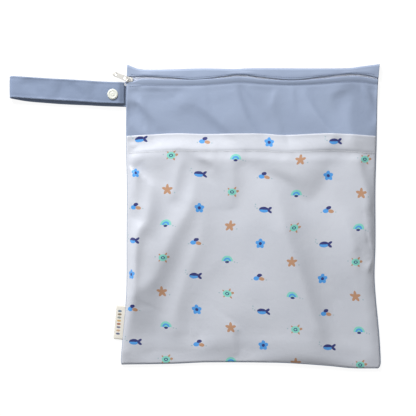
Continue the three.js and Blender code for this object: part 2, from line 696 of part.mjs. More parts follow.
// A cap: a low dome with a ring pressed into it, and a post on its flat side. Heights run out from
// the cloth.
function capProfile(postLength) {
  const radius = snapCapDiameter / 2;
  const post = snapPostDiameter / 2;
  const ringDepth = snapCapThickness / 5;
  return [
    [0, -postLength],
    [post, -postLength],
    [post, 0],
    [radius * 0.93, 0],
    [radius, snapCapThickness * 0.35],
    [radius * 0.9, snapCapThickness * 0.8],
    [radius * 0.68, snapCapThickness],
    [radius * 0.6, snapCapThickness - ringDepth],
    [radius * 0.34, snapCapThickness - ringDepth],
    [radius * 0.26, snapCapThickness],
    [0, snapCapThickness],
  ];
}
const postReach = pieceGap + strapThickness + pieceGap + studBaseThickness / 2;
const frontCap = () =>
  turnedPart(capProfile(postReach), snapFrontHeight + strapThickness / 2 + pieceGap);
const backCap = () => turnedPart(capProfile(postReach), snapCapThickness, -1);
function socket() {
  const outer = snapPartDiameter / 2;
  const well = studBallDiameter / 2 + pieceGap;
  const hole = snapPostDiameter / 2 + pieceGap;
  const wellDepth = studBallHeight;
  const floor = snapFrontHeight - strapThickness / 2 - pieceGap - socketThickness;
  return turnedPart(
    [
      [hole, wellDepth],
      [well, wellDepth],
      [well, 0],
      [outer * 0.8, 0],
      [outer, socketThickness * 0.5],
      [outer, socketThickness],
      [hole, socketThickness],
      [hole, wellDepth],
    ],
    floor,
  );
}
function stud() {
  const outer = snapPartDiameter / 2;
  const ball = studBallDiameter / 2;
  const hole = snapPostDiameter / 2 + pieceGap;
  const ballTop = studBaseThickness + pieceGap + studBallHeight - pieceGap;
  return turnedPart(
    [
      [hole, 0],
      [outer, 0],
      [outer, studBaseThickness * 0.6],
      [outer * 0.85, studBaseThickness],
      [ball * 0.85, studBaseThickness],
      [ball, (studBaseThickness + ballTop) / 2],
      [ball * 0.8, ballTop],
      [hole, ballTop],
      [hole, 0],
    ],
    snapBackHeight + strapThickness / 2 + pieceGap,
  );
}

// The label is a folded ribbon sewn into the left seam, square to the seam there.
function label() {
  const low = placeAcross(0, labelY - labelHeight / 2);
  const high = placeAcross(0, labelY + labelHeight / 2);
  const lean = Math.atan2(high - low, labelHeight);
  const seamLevel = seamUnderside + labelThickness / 2;
  const steps = [
    { out: -labelInset, level: seamLevel },
    { out: 0, level: seamLevel },
    { out: labelReach * 0.5, level: (seamLevel + labelThickness) / 2 },
    { out: labelReach * 0.93, level: labelThickness * 0.75 },
  ];
  const rows = (side) => [
    ...steps.map((step) => labelRow(step.out, step.level + (side * labelThickness) / 2, lean)),
    labelRow(labelReach, labelThickness * 0.75 + (side * labelThickness) / 5, lean),
  ];
  return closedSheet(rows(1), rows(-1));
}
function labelRow(out, level, lean) {
  return [-0.5, 0.5].map((edge) => {
    const along = edge * labelHeight;
    const x = placeAcross(0, labelY) - out * Math.cos(lean) + along * Math.sin(lean);
    return new THREE.Vector3(x, labelY + out * Math.sin(lean) + along * Math.cos(lean), level);
  });
}

// Materials.
const blueCloth = new THREE.MeshStandardMaterial({ color: 0x9fb0cc, roughness: 0.55 });
const printedCloth = new THREE.MeshStandardMaterial({ color: 0xd9dde3, roughness: 0.5 });
const zipTapeCloth = new THREE.MeshStandardMaterial({ color: 0xeeeeec, roughness: 0.8 });
const zipNylon = new THREE.MeshStandardMaterial({ color: 0xf4f4f2, roughness: 0.4 });
const zipMetal = new THREE.MeshStandardMaterial({ color: 0xd8d8d6, roughness: 0.3, metalness: 1 });
const snapPlastic = new THREE.MeshStandardMaterial({ color: 0xf6f7f2, roughness: 0.35 });
const labelRibbon = new THREE.MeshStandardMaterial({ color: 0xf1ede4, roughness: 0.7 });

const bag = new THREE.Group();
function piece(name, geometry, material, parent = bag) {
  const mesh = new THREE.Mesh(geometry, material);
  mesh.name = name;
  parent.add(mesh);
  return mesh;
}
piece("back_panel", backPanel(), blueCloth);
piece("front_panel", frontPanel(), blueCloth);
piece("pocket_panel", pocketPanel(), printedCloth);
piece("zip_tape_upper", upperTape(), zipTapeCloth);
piece("zip_tape_lower", lowerTape(), zipTapeCloth);
piece("zip_tape_end", tapeEnd(), zipTapeCloth);
piece("zip_coil", coil(), zipNylon);
piece("zip_slider", slider(), zipMetal);
piece("strap", strap(), blueCloth);
piece("snap_front_cap", frontCap(), snapPlastic);
piece("snap_socket", socket(), snapPlastic);
piece("snap_stud", stud(), snapPlastic);
piece("snap_back_cap", backCap(), snapPlastic);
piece("label", label(), labelRibbon);

// The pull turns on the bail, so it has a frame of its own on the rod.
const pullFrame = new THREE.Group();
pullFrame.position.set(bailX, sliderY, pullAxisZ);
pullFrame.rotation.z = THREE.MathUtils.degToRad(180 - pullYaw);
bag.add(pullFrame);
piece("zip_pull", pull(), zipMetal, pullFrame);

export default bag;
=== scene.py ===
# A cloth wet bag for diapers, lying flat with its front up under soft studio light.
# Lengths in the dictionaries are millimetres; meshes are made in metres, in the frame's own place.
import math

import bpy
import numpy as np
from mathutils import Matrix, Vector


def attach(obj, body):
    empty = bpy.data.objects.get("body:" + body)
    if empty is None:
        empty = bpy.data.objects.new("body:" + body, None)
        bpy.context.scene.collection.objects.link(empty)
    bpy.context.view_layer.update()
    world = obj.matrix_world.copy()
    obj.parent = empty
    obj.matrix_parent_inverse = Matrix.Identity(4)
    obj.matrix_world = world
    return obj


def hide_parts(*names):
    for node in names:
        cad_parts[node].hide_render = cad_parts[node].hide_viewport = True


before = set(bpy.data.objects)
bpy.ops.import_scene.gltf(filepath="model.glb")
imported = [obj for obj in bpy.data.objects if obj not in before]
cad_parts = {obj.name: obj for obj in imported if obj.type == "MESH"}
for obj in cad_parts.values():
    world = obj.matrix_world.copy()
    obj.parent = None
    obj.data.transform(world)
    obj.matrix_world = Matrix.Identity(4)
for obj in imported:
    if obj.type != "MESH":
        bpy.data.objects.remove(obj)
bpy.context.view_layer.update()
mm = 0.001
print("stage: frame loaded")


def smooth(share):
    share = np.clip(share, 0, 1)
    return share * share * (3 - 2 * share)


def lerp(a, b, share):
    return a + (b - a) * share


def follow(table, column, at):
    # a smooth curve through one column of a table
    x, y = np.array(table["at"], float), np.array(table[column], float)
    last = len(x) - 1
    before, after = np.maximum(np.arange(last + 1) - 1, 0), np.minimum(np.arange(last + 1) + 1, last)
    slope = (y[after] - y[before]) / (x[after] - x[before])
    i = np.clip(np.searchsorted(x, at, side="right") - 1, 0, last - 1)
    span = x[i + 1] - x[i]
    t = np.clip((at - x[i]) / span, 0, 1)
    ends = (1 + 2 * t) * (1 - t) ** 2 * y[i] + t * t * (3 - 2 * t) * y[i + 1]
    return ends + span * (t * (1 - t) ** 2 * slope[i] + t * t * (t - 1) * slope[i + 1])


def smoothPath(points, steps):
    # a rounded path through a few points, evenly sampled
    points = np.array(points, float)
    table = {"at": np.linspace(0, 1, len(points))}
    for k in range(points.shape[1]):
        table[k] = points[:, k]
    at = np.linspace(0, 1, steps)
    return np.stack([follow(table, k, at) for k in range(points.shape[1])], axis=1)


def softNoise(x, y, size, seed, turn=0.6):
    # smooth random hills about `size` across, from about -1 to 1
    values = np.random.RandomState(seed).uniform(-1.6, 1.6, (64, 64))
    x, y = np.broadcast_arrays(np.asarray(x, float), np.asarray(y, float))
    gx = (x * math.cos(turn) - y * math.sin(turn)) / size + 500
    gy = (x * math.sin(turn) + y * math.cos(turn)) / size + 500
    ix, iy = np.floor(gx).astype(int), np.floor(gy).astype(int)
    total = np.zeros(x.shape)
    for di in range(4):
        for dj in range(4):
            wide = softWeight(gx - ix + 1 - di) * softWeight(gy - iy + 1 - dj)
            total += wide * values[(ix + di) % 64, (iy + dj) % 64]
    return total


def softWeight(t):
    # the cubic B-spline, which leaves no trace of the grid
    t = np.abs(t)
    return np.where(t < 1, 2 / 3 - t * t + t**3 / 2, np.clip(2 - t, 0, None) ** 3 / 6)


def foldField(folds, x, y):
    # ridges and valleys along curves, each with a crisp or a round crest and flanks of its own width
    height = np.zeros(x.shape)
    for path, left, right, high, crisp in folds:
        line = smoothPath(path, 33)
        steps = np.diff(line, axis=0)
        reach = 3.2 * max(*left, *right)
        low, top = line.min(0) - reach, line.max(0) + reach
        near = (x > low[0]) & (x < top[0]) & (y > low[1]) & (y < top[1])
        dx, dy = x[near][:, None] - line[:-1, 0], y[near][:, None] - line[:-1, 1]
        along = np.clip((dx * steps[:, 0] + dy * steps[:, 1]) / (steps**2).sum(1), 0, 1)
        away = (dx - along * steps[:, 0]) ** 2 + (dy - along * steps[:, 1]) ** 2
        k = away.argmin(1)
        rows = np.arange(len(k))
        side = steps[k, 0] * dy[rows, k] - steps[k, 1] * dx[rows, k]
        share = (k + along[rows, k]) / len(steps)
        wide = np.where(side > 0, lerp(left[0], left[1], share), lerp(right[0], right[1], share))
        distance = np.sqrt(away[rows, k] + crisp**2) - crisp
        start, middle, end = (1 - share) * (1 - 2 * share), 4 * share * (1 - share), share * (2 * share - 1)
        rise = high[0] * start + high[1] * middle + high[2] * end
        taper = smooth(share / 0.2) * smooth((1 - share) / 0.2)
        height[near] += rise * taper * np.exp(-distance / wide * 1.15 - (distance / wide / 1.8) ** 2)
    return height


def hillField(hills, x, y):
    # broad soft rises and hollows, each as (x, y, reach across, reach up, height)
    return sum(
        high * np.exp(-(((x - hx) / wide) ** 2) - ((y - hy) / tall) ** 2)
        for hx, hy, wide, tall, high in hills
    )


def newObject(name, verts, faces, material, slot, body="bag"):
    mesh = bpy.data.meshes.new(name)
    mesh.from_pydata([tuple(v) for v in np.asarray(verts) * mm], [], [tuple(f) for f in faces])
    mesh.polygons.foreach_set("use_smooth", [True] * len(mesh.polygons))
    mesh.materials.append(material)
    mesh.update()
    piece = bpy.data.objects.new(name, mesh)
    bpy.context.scene.collection.objects.link(piece)
    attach(piece, body)
    return piece


def sheetMesh(name, upper, lower, material, slot, rim=0.5, flat=None):
    # a closed sheet of cloth between two grids of points, with a rounded rim
    # `flat` holds where each point lies on the flat cloth, for the print and the knit
    rows, cols = upper.shape[:2]
    ring = [(0, c) for c in range(cols)] + [(r, cols - 1) for r in range(1, rows)]
    ring += [(rows - 1, c) for c in range(cols - 2, -1, -1)] + [(r, 0) for r in range(rows - 2, 0, -1)]
    r, c = np.array(ring).T
    middle = (upper[r, c] + lower[r, c]) / 2
    inner = (upper + lower)[np.clip(r, 1, rows - 2), np.clip(c, 1, cols - 2)] / 2
    outward = middle - inner
    outward[:, 2] = 0
    outward /= np.maximum(np.linalg.norm(outward, axis=1, keepdims=True), 1e-9)
    thick = np.linalg.norm(upper[r, c] - lower[r, c], axis=1, keepdims=True)
    verts = np.concatenate([upper.reshape(-1, 3), lower.reshape(-1, 3), middle + outward * thick * rim])
    index = np.arange(rows * cols).reshape(rows, cols)
    a, b = index[:-1, :-1].ravel(), index[:-1, 1:].ravel()
    d, e = index[1:, 1:].ravel(), index[1:, :-1].ravel()
    below = rows * cols
    faces = np.concatenate([np.stack([a, b, d, e], 1), np.stack([a, e, d, b], 1) + below])
    edge, k = index[r, c], np.arange(len(r))
    after, rimStart = np.roll(edge, -1), 2 * below
    nextK = np.roll(k, -1)
    faces = np.concatenate([
        faces,
        np.stack([after, edge, rimStart + k, rimStart + nextK], 1),
        np.stack([rimStart + nextK, rimStart + k, edge + below, after + below], 1),
    ])
    piece = newObject(name, verts, faces, material, slot=slot)
    if flat is not None:
        loops = np.empty(len(piece.data.loops), int)
        piece.data.loops.foreach_get("vertex_index", loops)
        every = np.concatenate([flat.reshape(-1, 2), flat.reshape(-1, 2), flat[r, c]]) * mm
        piece.data.uv_layers.new(name="clothFlat").data.foreach_set("uv", every[loops].ravel())
    return piece


def flatCoordinates(points, originX=0.0):
    # how far each point of a grid lies along the cloth itself, across and up, in millimetres
    acrossStep = np.linalg.norm(np.diff(points, axis=1), axis=2)
    u = np.concatenate([np.zeros((len(points), 1)), np.cumsum(acrossStep, axis=1)], axis=1)
    u += points[:, :1, 0] - originX
    upStep = np.linalg.norm(np.diff(points, axis=0), axis=2)
    v = np.concatenate([np.zeros((1, points.shape[1])), np.cumsum(upStep, axis=0)], axis=0)
    v = lerp(v, v.mean(axis=1, keepdims=True), 0.6) + points[:1, :, 1]
    return np.stack([u, v], axis=2)


def tube(path, radius, sides=8, flatten=1.0, up=(0, 0, 1)):
    # a round or flattened wire along a path, with closed ends
    path = np.asarray(path, float)
    along = np.gradient(path, axis=0)
    along /= np.linalg.norm(along, axis=1, keepdims=True)
    across = np.cross(along, np.array(up, float))
    across /= np.maximum(np.linalg.norm(across, axis=1, keepdims=True), 1e-9)
    other = np.cross(across, along)
    radius = np.broadcast_to(radius, len(path))[:, None, None]
    turn = np.arange(sides) * 2 * np.pi / sides
    cosine, sine = np.cos(turn)[None, :, None], np.sin(turn)[None, :, None]
    ring = across[:, None] * cosine + other[:, None] * sine * flatten
    verts = (path[:, None] + ring * radius).reshape(-1, 3)
    faces = []
    for i in range(len(path) - 1):
        for k in range(sides):
            n = (k + 1) % sides
            faces.append((i * sides + k, i * sides + n, (i + 1) * sides + n, (i + 1) * sides + k))
    faces.append(tuple(range(sides))[::-1])
    faces.append(tuple(range((len(path) - 1) * sides, len(path) * sides)))
    return verts, faces


def joined(parts):
    verts, faces, start = [], [], 0
    for partVerts, partFaces in parts:
        verts.append(np.asarray(partVerts, float))
        faces += [tuple(i + start for i in face) for face in partFaces]
        start += len(partVerts)
    return np.concatenate(verts), faces


def plate(name, outline, holes, thickness, bevel):
    # a flat metal part pressed from its outline, with softened edges; made at the origin
    curve = bpy.data.curves.new(name, "CURVE")
    curve.dimensions, curve.fill_mode = "2D", "BOTH"
    curve.extrude, curve.bevel_depth = (thickness / 2 - bevel) * mm, bevel * mm
    curve.bevel_resolution, curve.offset = 2, -bevel * mm
    for ring in [outline, *holes]:
        spline = curve.splines.new("POLY")
        spline.points.add(len(ring) - 1)
        for point, (x, y) in zip(spline.points, ring):
            point.co = (x * mm, y * mm, 0, 1)
        spline.use_cyclic_u = True
    holder = bpy.data.objects.new(name + "Outline", curve)
    bpy.context.scene.collection.objects.link(holder)
    depsgraph = bpy.context.evaluated_depsgraph_get()
    mesh = bpy.data.meshes.new_from_object(holder.evaluated_get(depsgraph))
    verts = np.array([v.co for v in mesh.vertices]) / mm
    faces = [tuple(p.vertices) for p in mesh.polygons]
    bpy.data.objects.remove(holder)
    return verts, faces


def arc(x, y, radius, start, end, steps=12):
    turn = np.radians(np.linspace(start, end, steps))
    return [(x + radius * math.cos(t), y + radius * math.sin(t)) for t in turn]


def linearColour(hexColour):
    parts = [int(hexColour[i : i + 2], 16) / 255 for i in (1, 3, 5)]
    return [p / 12.92 if p <= 0.04045 else ((p + 0.055) / 1.055) ** 2.4 for p in parts] + [1]


def addNode(tree, kind, inputs=None, **settings):
    node = tree.nodes.new("ShaderNode" + kind)
    for name, value in settings.items():
        setattr(node, name, value)
    for socket, value in (inputs or {}).items():
        if isinstance(value, bpy.types.NodeSocket):
            tree.links.new(value, node.inputs[socket])
        else:
            node.inputs[socket].default_value = value
    return node


def newMaterial(name, hexColour, roughness, ior=1.45, metallic=0.0, sheen=0.0, specular=0.5):
    material = bpy.data.materials.new(name)
    material.use_nodes = True
    tree = material.node_tree
    shader = tree.nodes["Principled BSDF"]
    values = {"Base Color": linearColour(hexColour), "Roughness": roughness, "Metallic": metallic}
    if not metallic:
        values.update({"IOR": ior, "Sheen Weight": sheen, "Specular IOR Level": specular})
    for socket, value in values.items():
        shader.inputs[socket].default_value = value
    return material, tree, shader


wavesPerUnit = 3.2  # a wave texture at scale 1 draws this many waves in one unit


def knitBump(tree, shader, coords, settings):
    # the jersey's wales and courses, and the fine creases that handling leaves in the laminate
    ribs = [
        addNode(tree, "TexWave", {"Vector": coords, "Scale": 1 / (settings["knitPitch"] * mm) / wavesPerUnit,
                                  "Distortion": 0.6}, bands_direction=direction)
        for direction in ("X", "Y")
    ]
    knit = addNode(tree, "Math", {0: ribs[0].outputs["Fac"], 1: ribs[1].outputs["Fac"]}, operation="MULTIPLY")
    creases = addNode(tree, "TexNoise", {"Vector": coords, "Scale": 1 / (settings["creaseSize"] * mm),
                                         "Detail": 3.0, "Roughness": 0.55, "Distortion": 0.5})
    fine = addNode(tree, "Bump", {"Height": knit.outputs[0], "Strength": 0.25,
                                  "Distance": settings["knitDepth"] * mm})
    bump = addNode(tree, "Bump", {"Height": creases.outputs["Fac"], "Strength": 1.0,
                                  "Distance": settings["creaseDepth"] * mm, "Normal": fine.outputs["Normal"]})
    tree.links.new(bump.outputs["Normal"], shader.inputs["Normal"])
    return creases


blueLaminate = {
    "colour": "#929FB6", "shade": "#8B98B1",  # dusty blue, and its slight mottling
    "strapPaintedShadeColour": "#7F8DA6", "strapPaintedShadeMottle": "#77859F",  # the strap's four layers, made darker than the bag's blue: painted shade
    "roughness": 0.46, "sheen": 0.12,
    "knitPitch": 1.1, "knitDepth": 0.05, "creaseSize": 9.0, "creaseDepth": 0.22,
}


def blueLaminateMaterial(name, colour, shade):
    # polyester jersey laminated with polyurethane film (PUL): a smooth knit with a broad soft gloss.
    # The real wales are 0.5 mm apart, and they are drawn at 1.1 mm so that they show at all.
    s = blueLaminate
    material, tree, shader = newMaterial(name, colour, s["roughness"], sheen=s["sheen"])
    coords = addNode(tree, "UVMap", uv_map="clothFlat").outputs["UV"]
    knitBump(tree, shader, coords, s)
    mottle = addNode(tree, "TexNoise", {"Vector": coords, "Scale": 1 / (38 * mm), "Detail": 2.0})
    tint = addNode(tree, "Mix", {0: mottle.outputs["Fac"], 6: linearColour(colour), 7: linearColour(shade)},
                   data_type="RGBA")
    tree.links.new(tint.outputs[2], shader.inputs["Base Color"])
    rough = addNode(tree, "MapRange", {"Value": mottle.outputs["Fac"], "To Min": s["roughness"] - 0.05,
                                       "To Max": s["roughness"] + 0.07})
    tree.links.new(rough.outputs["Result"], shader.inputs["Roughness"])
    return material


printedLaminate = {
    "colour": "#C7CAD2", "shade": "#BDC1CB",
    "roughness": 0.44, "sheen": 0.1,
    "knitPitch": 1.1, "knitDepth": 0.05, "creaseSize": 8.0, "creaseDepth": 0.2,
    "inks": {"navy": "#2E3470", "sky": "#4C97DC", "mint": "#7FCDBE", "tan": "#B58A6C", "grey": "#9FB4BC"},
    "column": 39.0, "row": 41.0, "turn": 1.6,  # spacing of the half-drop repeat, and its turn in degrees
}

# Each motif is a list of ellipses: ink, centre x, centre y, half width, half height, turn in degrees, and
# the part that is kept, which is all of it or its upper or lower half. Millimetres.
printMotifs = {
    "fish": [
        ("navy", 0, 0, 5.8, 3.5, 0, "all"), ("sky", 0, 0, 5.7, 3.4, 0, "lower"),
        ("navy", 7.0, 1.7, 3.0, 1.5, 35, "all"), ("navy", 7.0, -1.7, 3.0, 1.5, -35, "all"),
        ("grey", -8.4, 1.4, 0.9, 0.9, 0, "all"),
        ("grey", -10.6, 3.2, 0.7, 0.7, 0, "all"), ("grey", -10.2, 6.0, 0.9, 0.9, 0, "all"),
    ],
    "shell": [
        ("mint", 0, -1.8, 6.8, 6.8, 0, "upper"), ("sky", 0, -1.8, 4.4, 4.4, 0, "upper"),
        ("mint", 0, -1.8, 2.2, 2.2, 0, "upper"), ("navy", 0, -2.7, 2.4, 1.4, 0, "all"),
        ("grey", 9.0, -2.6, 1.0, 0.8, 0, "all"), ("grey", 12.2, -3.4, 0.8, 0.6, 0, "all"),
    ],
    "starfish": [
        ("tan", 0, 2.7, 1.8, 4.0, 0, "all"), ("tan", 2.6, 0.8, 1.8, 4.0, -72, "all"),
        ("tan", 1.6, -2.3, 1.8, 4.0, -144, "all"), ("tan", -1.6, -2.3, 1.8, 4.0, 144, "all"),
        ("tan", -2.6, 0.8, 1.8, 4.0, 72, "all"), ("grey", 8.8, -3.6, 0.9, 0.9, 0, "all"),
    ],
    "turtle": [
        ("tan", 6.4, 0.9, 2.0, 1.5, 15, "all"), ("tan", 3.4, 4.0, 1.1, 2.6, -35, "all"),
        ("tan", 3.4, -3.6, 1.1, 2.6, 35, "all"), ("tan", -3.8, 3.2, 0.9, 2.0, 40, "all"),
        ("tan", -3.8, -3.0, 0.9, 2.0, -40, "all"), ("mint", 0, 0, 5.2, 4.1, 0, "all"),
        ("navy", 0, 0, 2.4, 1.9, 0, "all"), ("mint", 0, 0, 1.3, 1.0, 0, "all"),
        ("grey", -9.4, 1.0, 0.8, 0.8, 0, "all"),
    ],
    "flower": [
        ("sky", 0, 3.4, 2.3, 2.7, 0, "all"), ("sky", 3.2, 1.0, 2.3, 2.7, -72, "all"),
        ("sky", 2.0, -2.8, 2.3, 2.7, -144, "all"), ("sky", -2.0, -2.8, 2.3, 2.7, 144, "all"),
        ("sky", -3.2, 1.0, 2.3, 2.7, 72, "all"), ("navy", 0, 0, 1.9, 1.9, 0, "all"),
    ],
    "pebbles": [
        ("sky", -2.6, -1.0, 3.8, 2.6, 8, "all"), ("tan", 3.6, -1.6, 3.4, 2.1, -10, "all"),
        ("navy", 0.7, 2.6, 3.1, 2.0, 14, "all"), ("grey", -8.2, -2.8, 1.1, 0.8, 0, "all"),
        ("grey", 9.2, -2.6, 1.0, 0.7, 0, "all"),
    ],
}
motifOrder = ["fish", "shell", "pebbles", "starfish", "flower", "turtle"]


def inkMask(tree, coords, x, y, halfWidth, halfHeight, turn, part):
    # 1 inside an ellipse, or inside its upper or lower half
    local = addNode(tree, "Mapping", {"Vector": coords, "Location": (x * mm, y * mm, 0),
                                      "Rotation": (0, 0, math.radians(turn)),
                                      "Scale": (halfWidth * mm, halfHeight * mm, 1)}, vector_type="TEXTURE")
    reach = addNode(tree, "VectorMath", {0: local.outputs[0]}, operation="LENGTH")
    mask = addNode(tree, "MapRange", {"Value": reach.outputs["Value"], "From Min": 1.03, "From Max": 0.97})
    if part == "all":
        return mask.outputs["Result"]
    split = addNode(tree, "SeparateXYZ", {0: local.outputs[0]})
    kept = addNode(tree, "Math", {0: split.outputs["Y"], 1: 0.0},
                   operation="GREATER_THAN" if part == "upper" else "LESS_THAN")
    both = addNode(tree, "Math", {0: mask.outputs["Result"], 1: kept.outputs[0]}, operation="MULTIPLY")
    return both.outputs[0]


def printedLaminateMaterial():
    # the same laminate in near white, with a small print in water-based inks that sink into the knit
    s = printedLaminate
    name = "PUL laminate, printed"
    material, tree, shader = newMaterial(name, s["colour"], s["roughness"], sheen=s["sheen"])
    coords = addNode(tree, "UVMap", uv_map="clothFlat").outputs["UV"]
    creases = knitBump(tree, shader, coords, s)
    mottle = addNode(tree, "TexNoise", {"Vector": coords, "Scale": 1 / (45 * mm), "Detail": 2.0})
    colour = addNode(tree, "Mix", {0: mottle.outputs["Fac"], 6: linearColour(s["colour"]),
                                   7: linearColour(s["shade"])}, data_type="RGBA").outputs[2]
    # each band of two columns is shifted up by two rows, so that no motif repeats straight across
    turned = addNode(tree, "Mapping", {"Vector": coords, "Rotation": (0, 0, math.radians(s["turn"]))},
                     vector_type="POINT")
    split = addNode(tree, "SeparateXYZ", {0: turned.outputs[0]})
    band = addNode(tree, "Math", {0: split.outputs["X"], 1: 2 * s["column"] * mm}, operation="DIVIDE")
    bandNumber = addNode(tree, "Math", {0: band.outputs[0]}, operation="FLOOR")
    lifted = addNode(tree, "Math", {0: bandNumber.outputs[0], 1: s["row"] * mm, 2: split.outputs["Y"]},
                     operation="MULTIPLY_ADD")
    shifted = addNode(tree, "CombineXYZ", {0: split.outputs["X"], 1: lifted.outputs[0]}).outputs[0]
    cell = (2 * s["column"] * mm, 3 * s["row"] * mm, 1)
    for k, name in enumerate(motifOrder):
        column, row = k % 2, k // 2
        centre = ((column + 0.5) * s["column"] * mm, (row + 0.5 * column + 0.25) * s["row"] * mm, 0)
        moved = addNode(tree, "VectorMath", {0: shifted, 1: centre}, operation="SUBTRACT")
        half = tuple(c / 2 for c in cell)
        wrapped = addNode(tree, "VectorMath", {0: moved.outputs[0], 1: half, 2: tuple(-h for h in half)},
                          operation="WRAP")
        place = wrapped.outputs[0]
        for ink, *shape in printMotifs[name]:
            mask = inkMask(tree, place, *shape)
            colour = addNode(tree, "Mix", {0: mask, 6: colour, 7: linearColour(s["inks"][ink])},
                             data_type="RGBA").outputs[2]
    tree.links.new(colour, shader.inputs["Base Color"])
    rough = addNode(tree, "MapRange", {"Value": creases.outputs["Fac"], "To Min": s["roughness"] - 0.05,
                                       "To Max": s["roughness"] + 0.06})
    tree.links.new(rough.outputs["Result"], shader.inputs["Roughness"])
    return material


def wovenTapeMaterial(name, hexColour, pitch):
    # plain-woven polyester tape: matt, with its threads drawn at their real spacing
    material, tree, shader = newMaterial(name, hexColour, 0.75, sheen=0.2)
    coords = addNode(tree, "TexCoord").outputs["Object"]
    weave = addNode(tree, "TexChecker", {"Vector": coords, "Scale": 1 / (pitch * mm)})
    fuzz = addNode(tree, "TexNoise", {"Vector": coords, "Scale": 1 / (2.5 * mm), "Detail": 3.0})
    height = addNode(tree, "Math", {0: weave.outputs["Fac"], 1: fuzz.outputs["Fac"]}, operation="ADD")
    bump = addNode(tree, "Bump", {"Height": height.outputs[0], "Strength": 0.3, "Distance": 0.08 * mm})
    tree.links.new(bump.outputs["Normal"], shader.inputs["Normal"])
    return material


labelBeads = {
    "inks": ["#5F7488", "#8A7A63", "#8A9290", "#CDA96E", "#A46F5B", "#75768A", "#C0A287", "#5F6580"],
    "pitch": 3.9, "out": 6.4, "halfWidth": 2.4, "halfHeight": 1.25,
}


def labelMaterial():
    # a cotton ribbon with a plain row of woven beads down its middle
    material, tree, shader = newMaterial("Cotton label ribbon, woven", "#DDD9CF", 0.75, sheen=0.2)
    coords = addNode(tree, "UVMap", uv_map="clothFlat").outputs["UV"]
    weave = addNode(tree, "TexChecker", {"Vector": coords, "Scale": 1 / (0.5 * mm)})
    colour = linearColour("#DDD9CF")
    for k, ink in enumerate(labelBeads["inks"]):
        y = ((len(labelBeads["inks"]) - 1) / 2 - k) * labelBeads["pitch"]
        bead = inkMask(tree, coords, labelBeads["out"], y, labelBeads["halfWidth"], labelBeads["halfHeight"],
                       0, "all")
        colour = addNode(tree, "Mix", {0: bead, 6: colour, 7: linearColour(ink)}, data_type="RGBA").outputs[2]
    tree.links.new(colour, shader.inputs["Base Color"])
    bump = addNode(tree, "Bump", {"Height": weave.outputs["Fac"], "Strength": 0.3, "Distance": 0.08 * mm})
    tree.links.new(bump.outputs["Normal"], shader.inputs["Normal"])
    return material


def mouldedMaterial(name, hexColour, roughness, ior):
    # injection-moulded resin: an even satin skin with a trace of flow in its gloss
    material, tree, shader = newMaterial(name, hexColour, roughness, ior=ior)
    coords = addNode(tree, "TexCoord").outputs["Object"]
    flow = addNode(tree, "TexNoise", {"Vector": coords, "Scale": 1 / (3 * mm), "Detail": 2.0})
    rough = addNode(tree, "MapRange", {"Value": flow.outputs["Fac"], "To Min": roughness - 0.06,
                                       "To Max": roughness + 0.06})
    tree.links.new(rough.outputs["Result"], shader.inputs["Roughness"])
    bump = addNode(tree, "Bump", {"Height": flow.outputs["Fac"], "Strength": 0.15, "Distance": 0.04 * mm})
    tree.links.new(bump.outputs["Normal"], shader.inputs["Normal"])
    return material


def nickelMaterial():
    # nickel-plated zinc die casting: bright, with soft tumbling marks
    material, tree, shader = newMaterial("Nickel-plated zinc, tumbled", "#E6E4DF", 0.44, metallic=1.0)
    coords = addNode(tree, "TexCoord").outputs["Object"]
    marks = addNode(tree, "TexNoise", {"Vector": coords, "Scale": 1 / (1.2 * mm), "Detail": 4.0})
    rough = addNode(tree, "MapRange", {"Value": marks.outputs["Fac"], "To Min": 0.36, "To Max": 0.52})
    tree.links.new(rough.outputs["Result"], shader.inputs["Roughness"])
    bump = addNode(tree, "Bump", {"Height": marks.outputs["Fac"], "Strength": 0.12, "Distance": 0.02 * mm})
    tree.links.new(bump.outputs["Normal"], shader.inputs["Normal"])
    return material


def threadMaterial(name, hexColour):
    # spun polyester thread: twisted plies across its length
    material, tree, shader = newMaterial(name, hexColour, 0.6, sheen=0.2)
    coords = addNode(tree, "TexCoord").outputs["Object"]
    twist = addNode(tree, "TexWave", {"Vector": coords, "Scale": 1 / (0.5 * mm) / wavesPerUnit},
                    bands_direction="DIAGONAL")
    bump = addNode(tree, "Bump", {"Height": twist.outputs["Fac"], "Strength": 0.4, "Distance": 0.05 * mm})
    tree.links.new(bump.outputs["Normal"], shader.inputs["Normal"])
    return material


blueCloth = blueLaminateMaterial("PUL laminate, dyed blue", blueLaminate["colour"], blueLaminate["shade"])
# the strap gets a darker copy of the blue laminate, which paints its shade
strapClothPaintedShade = blueLaminateMaterial("PUL laminate, folded strap", blueLaminate["strapPaintedShadeColour"],
                                  blueLaminate["strapPaintedShadeMottle"])
printedCloth = printedLaminateMaterial()
# the tape is white; its blue-grey tint paints the navy shade under the flap
zipTapePaintedShadeCloth = wovenTapeMaterial("Polyester zip tape, woven", "#BFC9DF", 0.6)
labelRibbon = labelMaterial()
# white nylon, with a blue tint that paints the shade under the flap
coilNylonPaintedShade = mouldedMaterial("Nylon zip coil, drawn", "#DBE1EE", 0.35, 1.53)
snapResin = mouldedMaterial("Acetal snap, moulded", "#D3D5CC", 0.34, 1.48)
zipNickel = nickelMaterial()
blueThread = threadMaterial("Polyester thread, blue", "#7C89A6")
whiteThread = threadMaterial("Polyester thread, white", "#DDDFE2")
print("stage: materials made")


bag = {
    "width": 300.0, "height": 354.0, "cloth": 1.0, "gap": 0.3,
    "mainPuff": 3.2, "pocketPuff": 3.2, "sideReach": 34.0, "bottomReach": 30.0,
    "pocketHeight": 275.4, "pocketHem": 20.4, "pocketWave": 2.2,
    "zipDrop": 10.8, "zipWave": 5.0, "coilWidth": 4.0, "coilThickness": 1.6,
    "tape": 1.0, "lowerTapeWidth": 9.0,
    "hemOver": 1.4, "zipGroove": 1.5, "zipEdgeHeight": 3.6, "zipMidHeight": 4.6, "yokeReach": 24.0,
    "sliderRoom": 3.3, "sliderEnd": 7.6, "sliderLength": 9.0,
}
seamUnderside = bag["cloth"] + bag["gap"]
bottomY, topY = -bag["height"] / 2, bag["height"] / 2

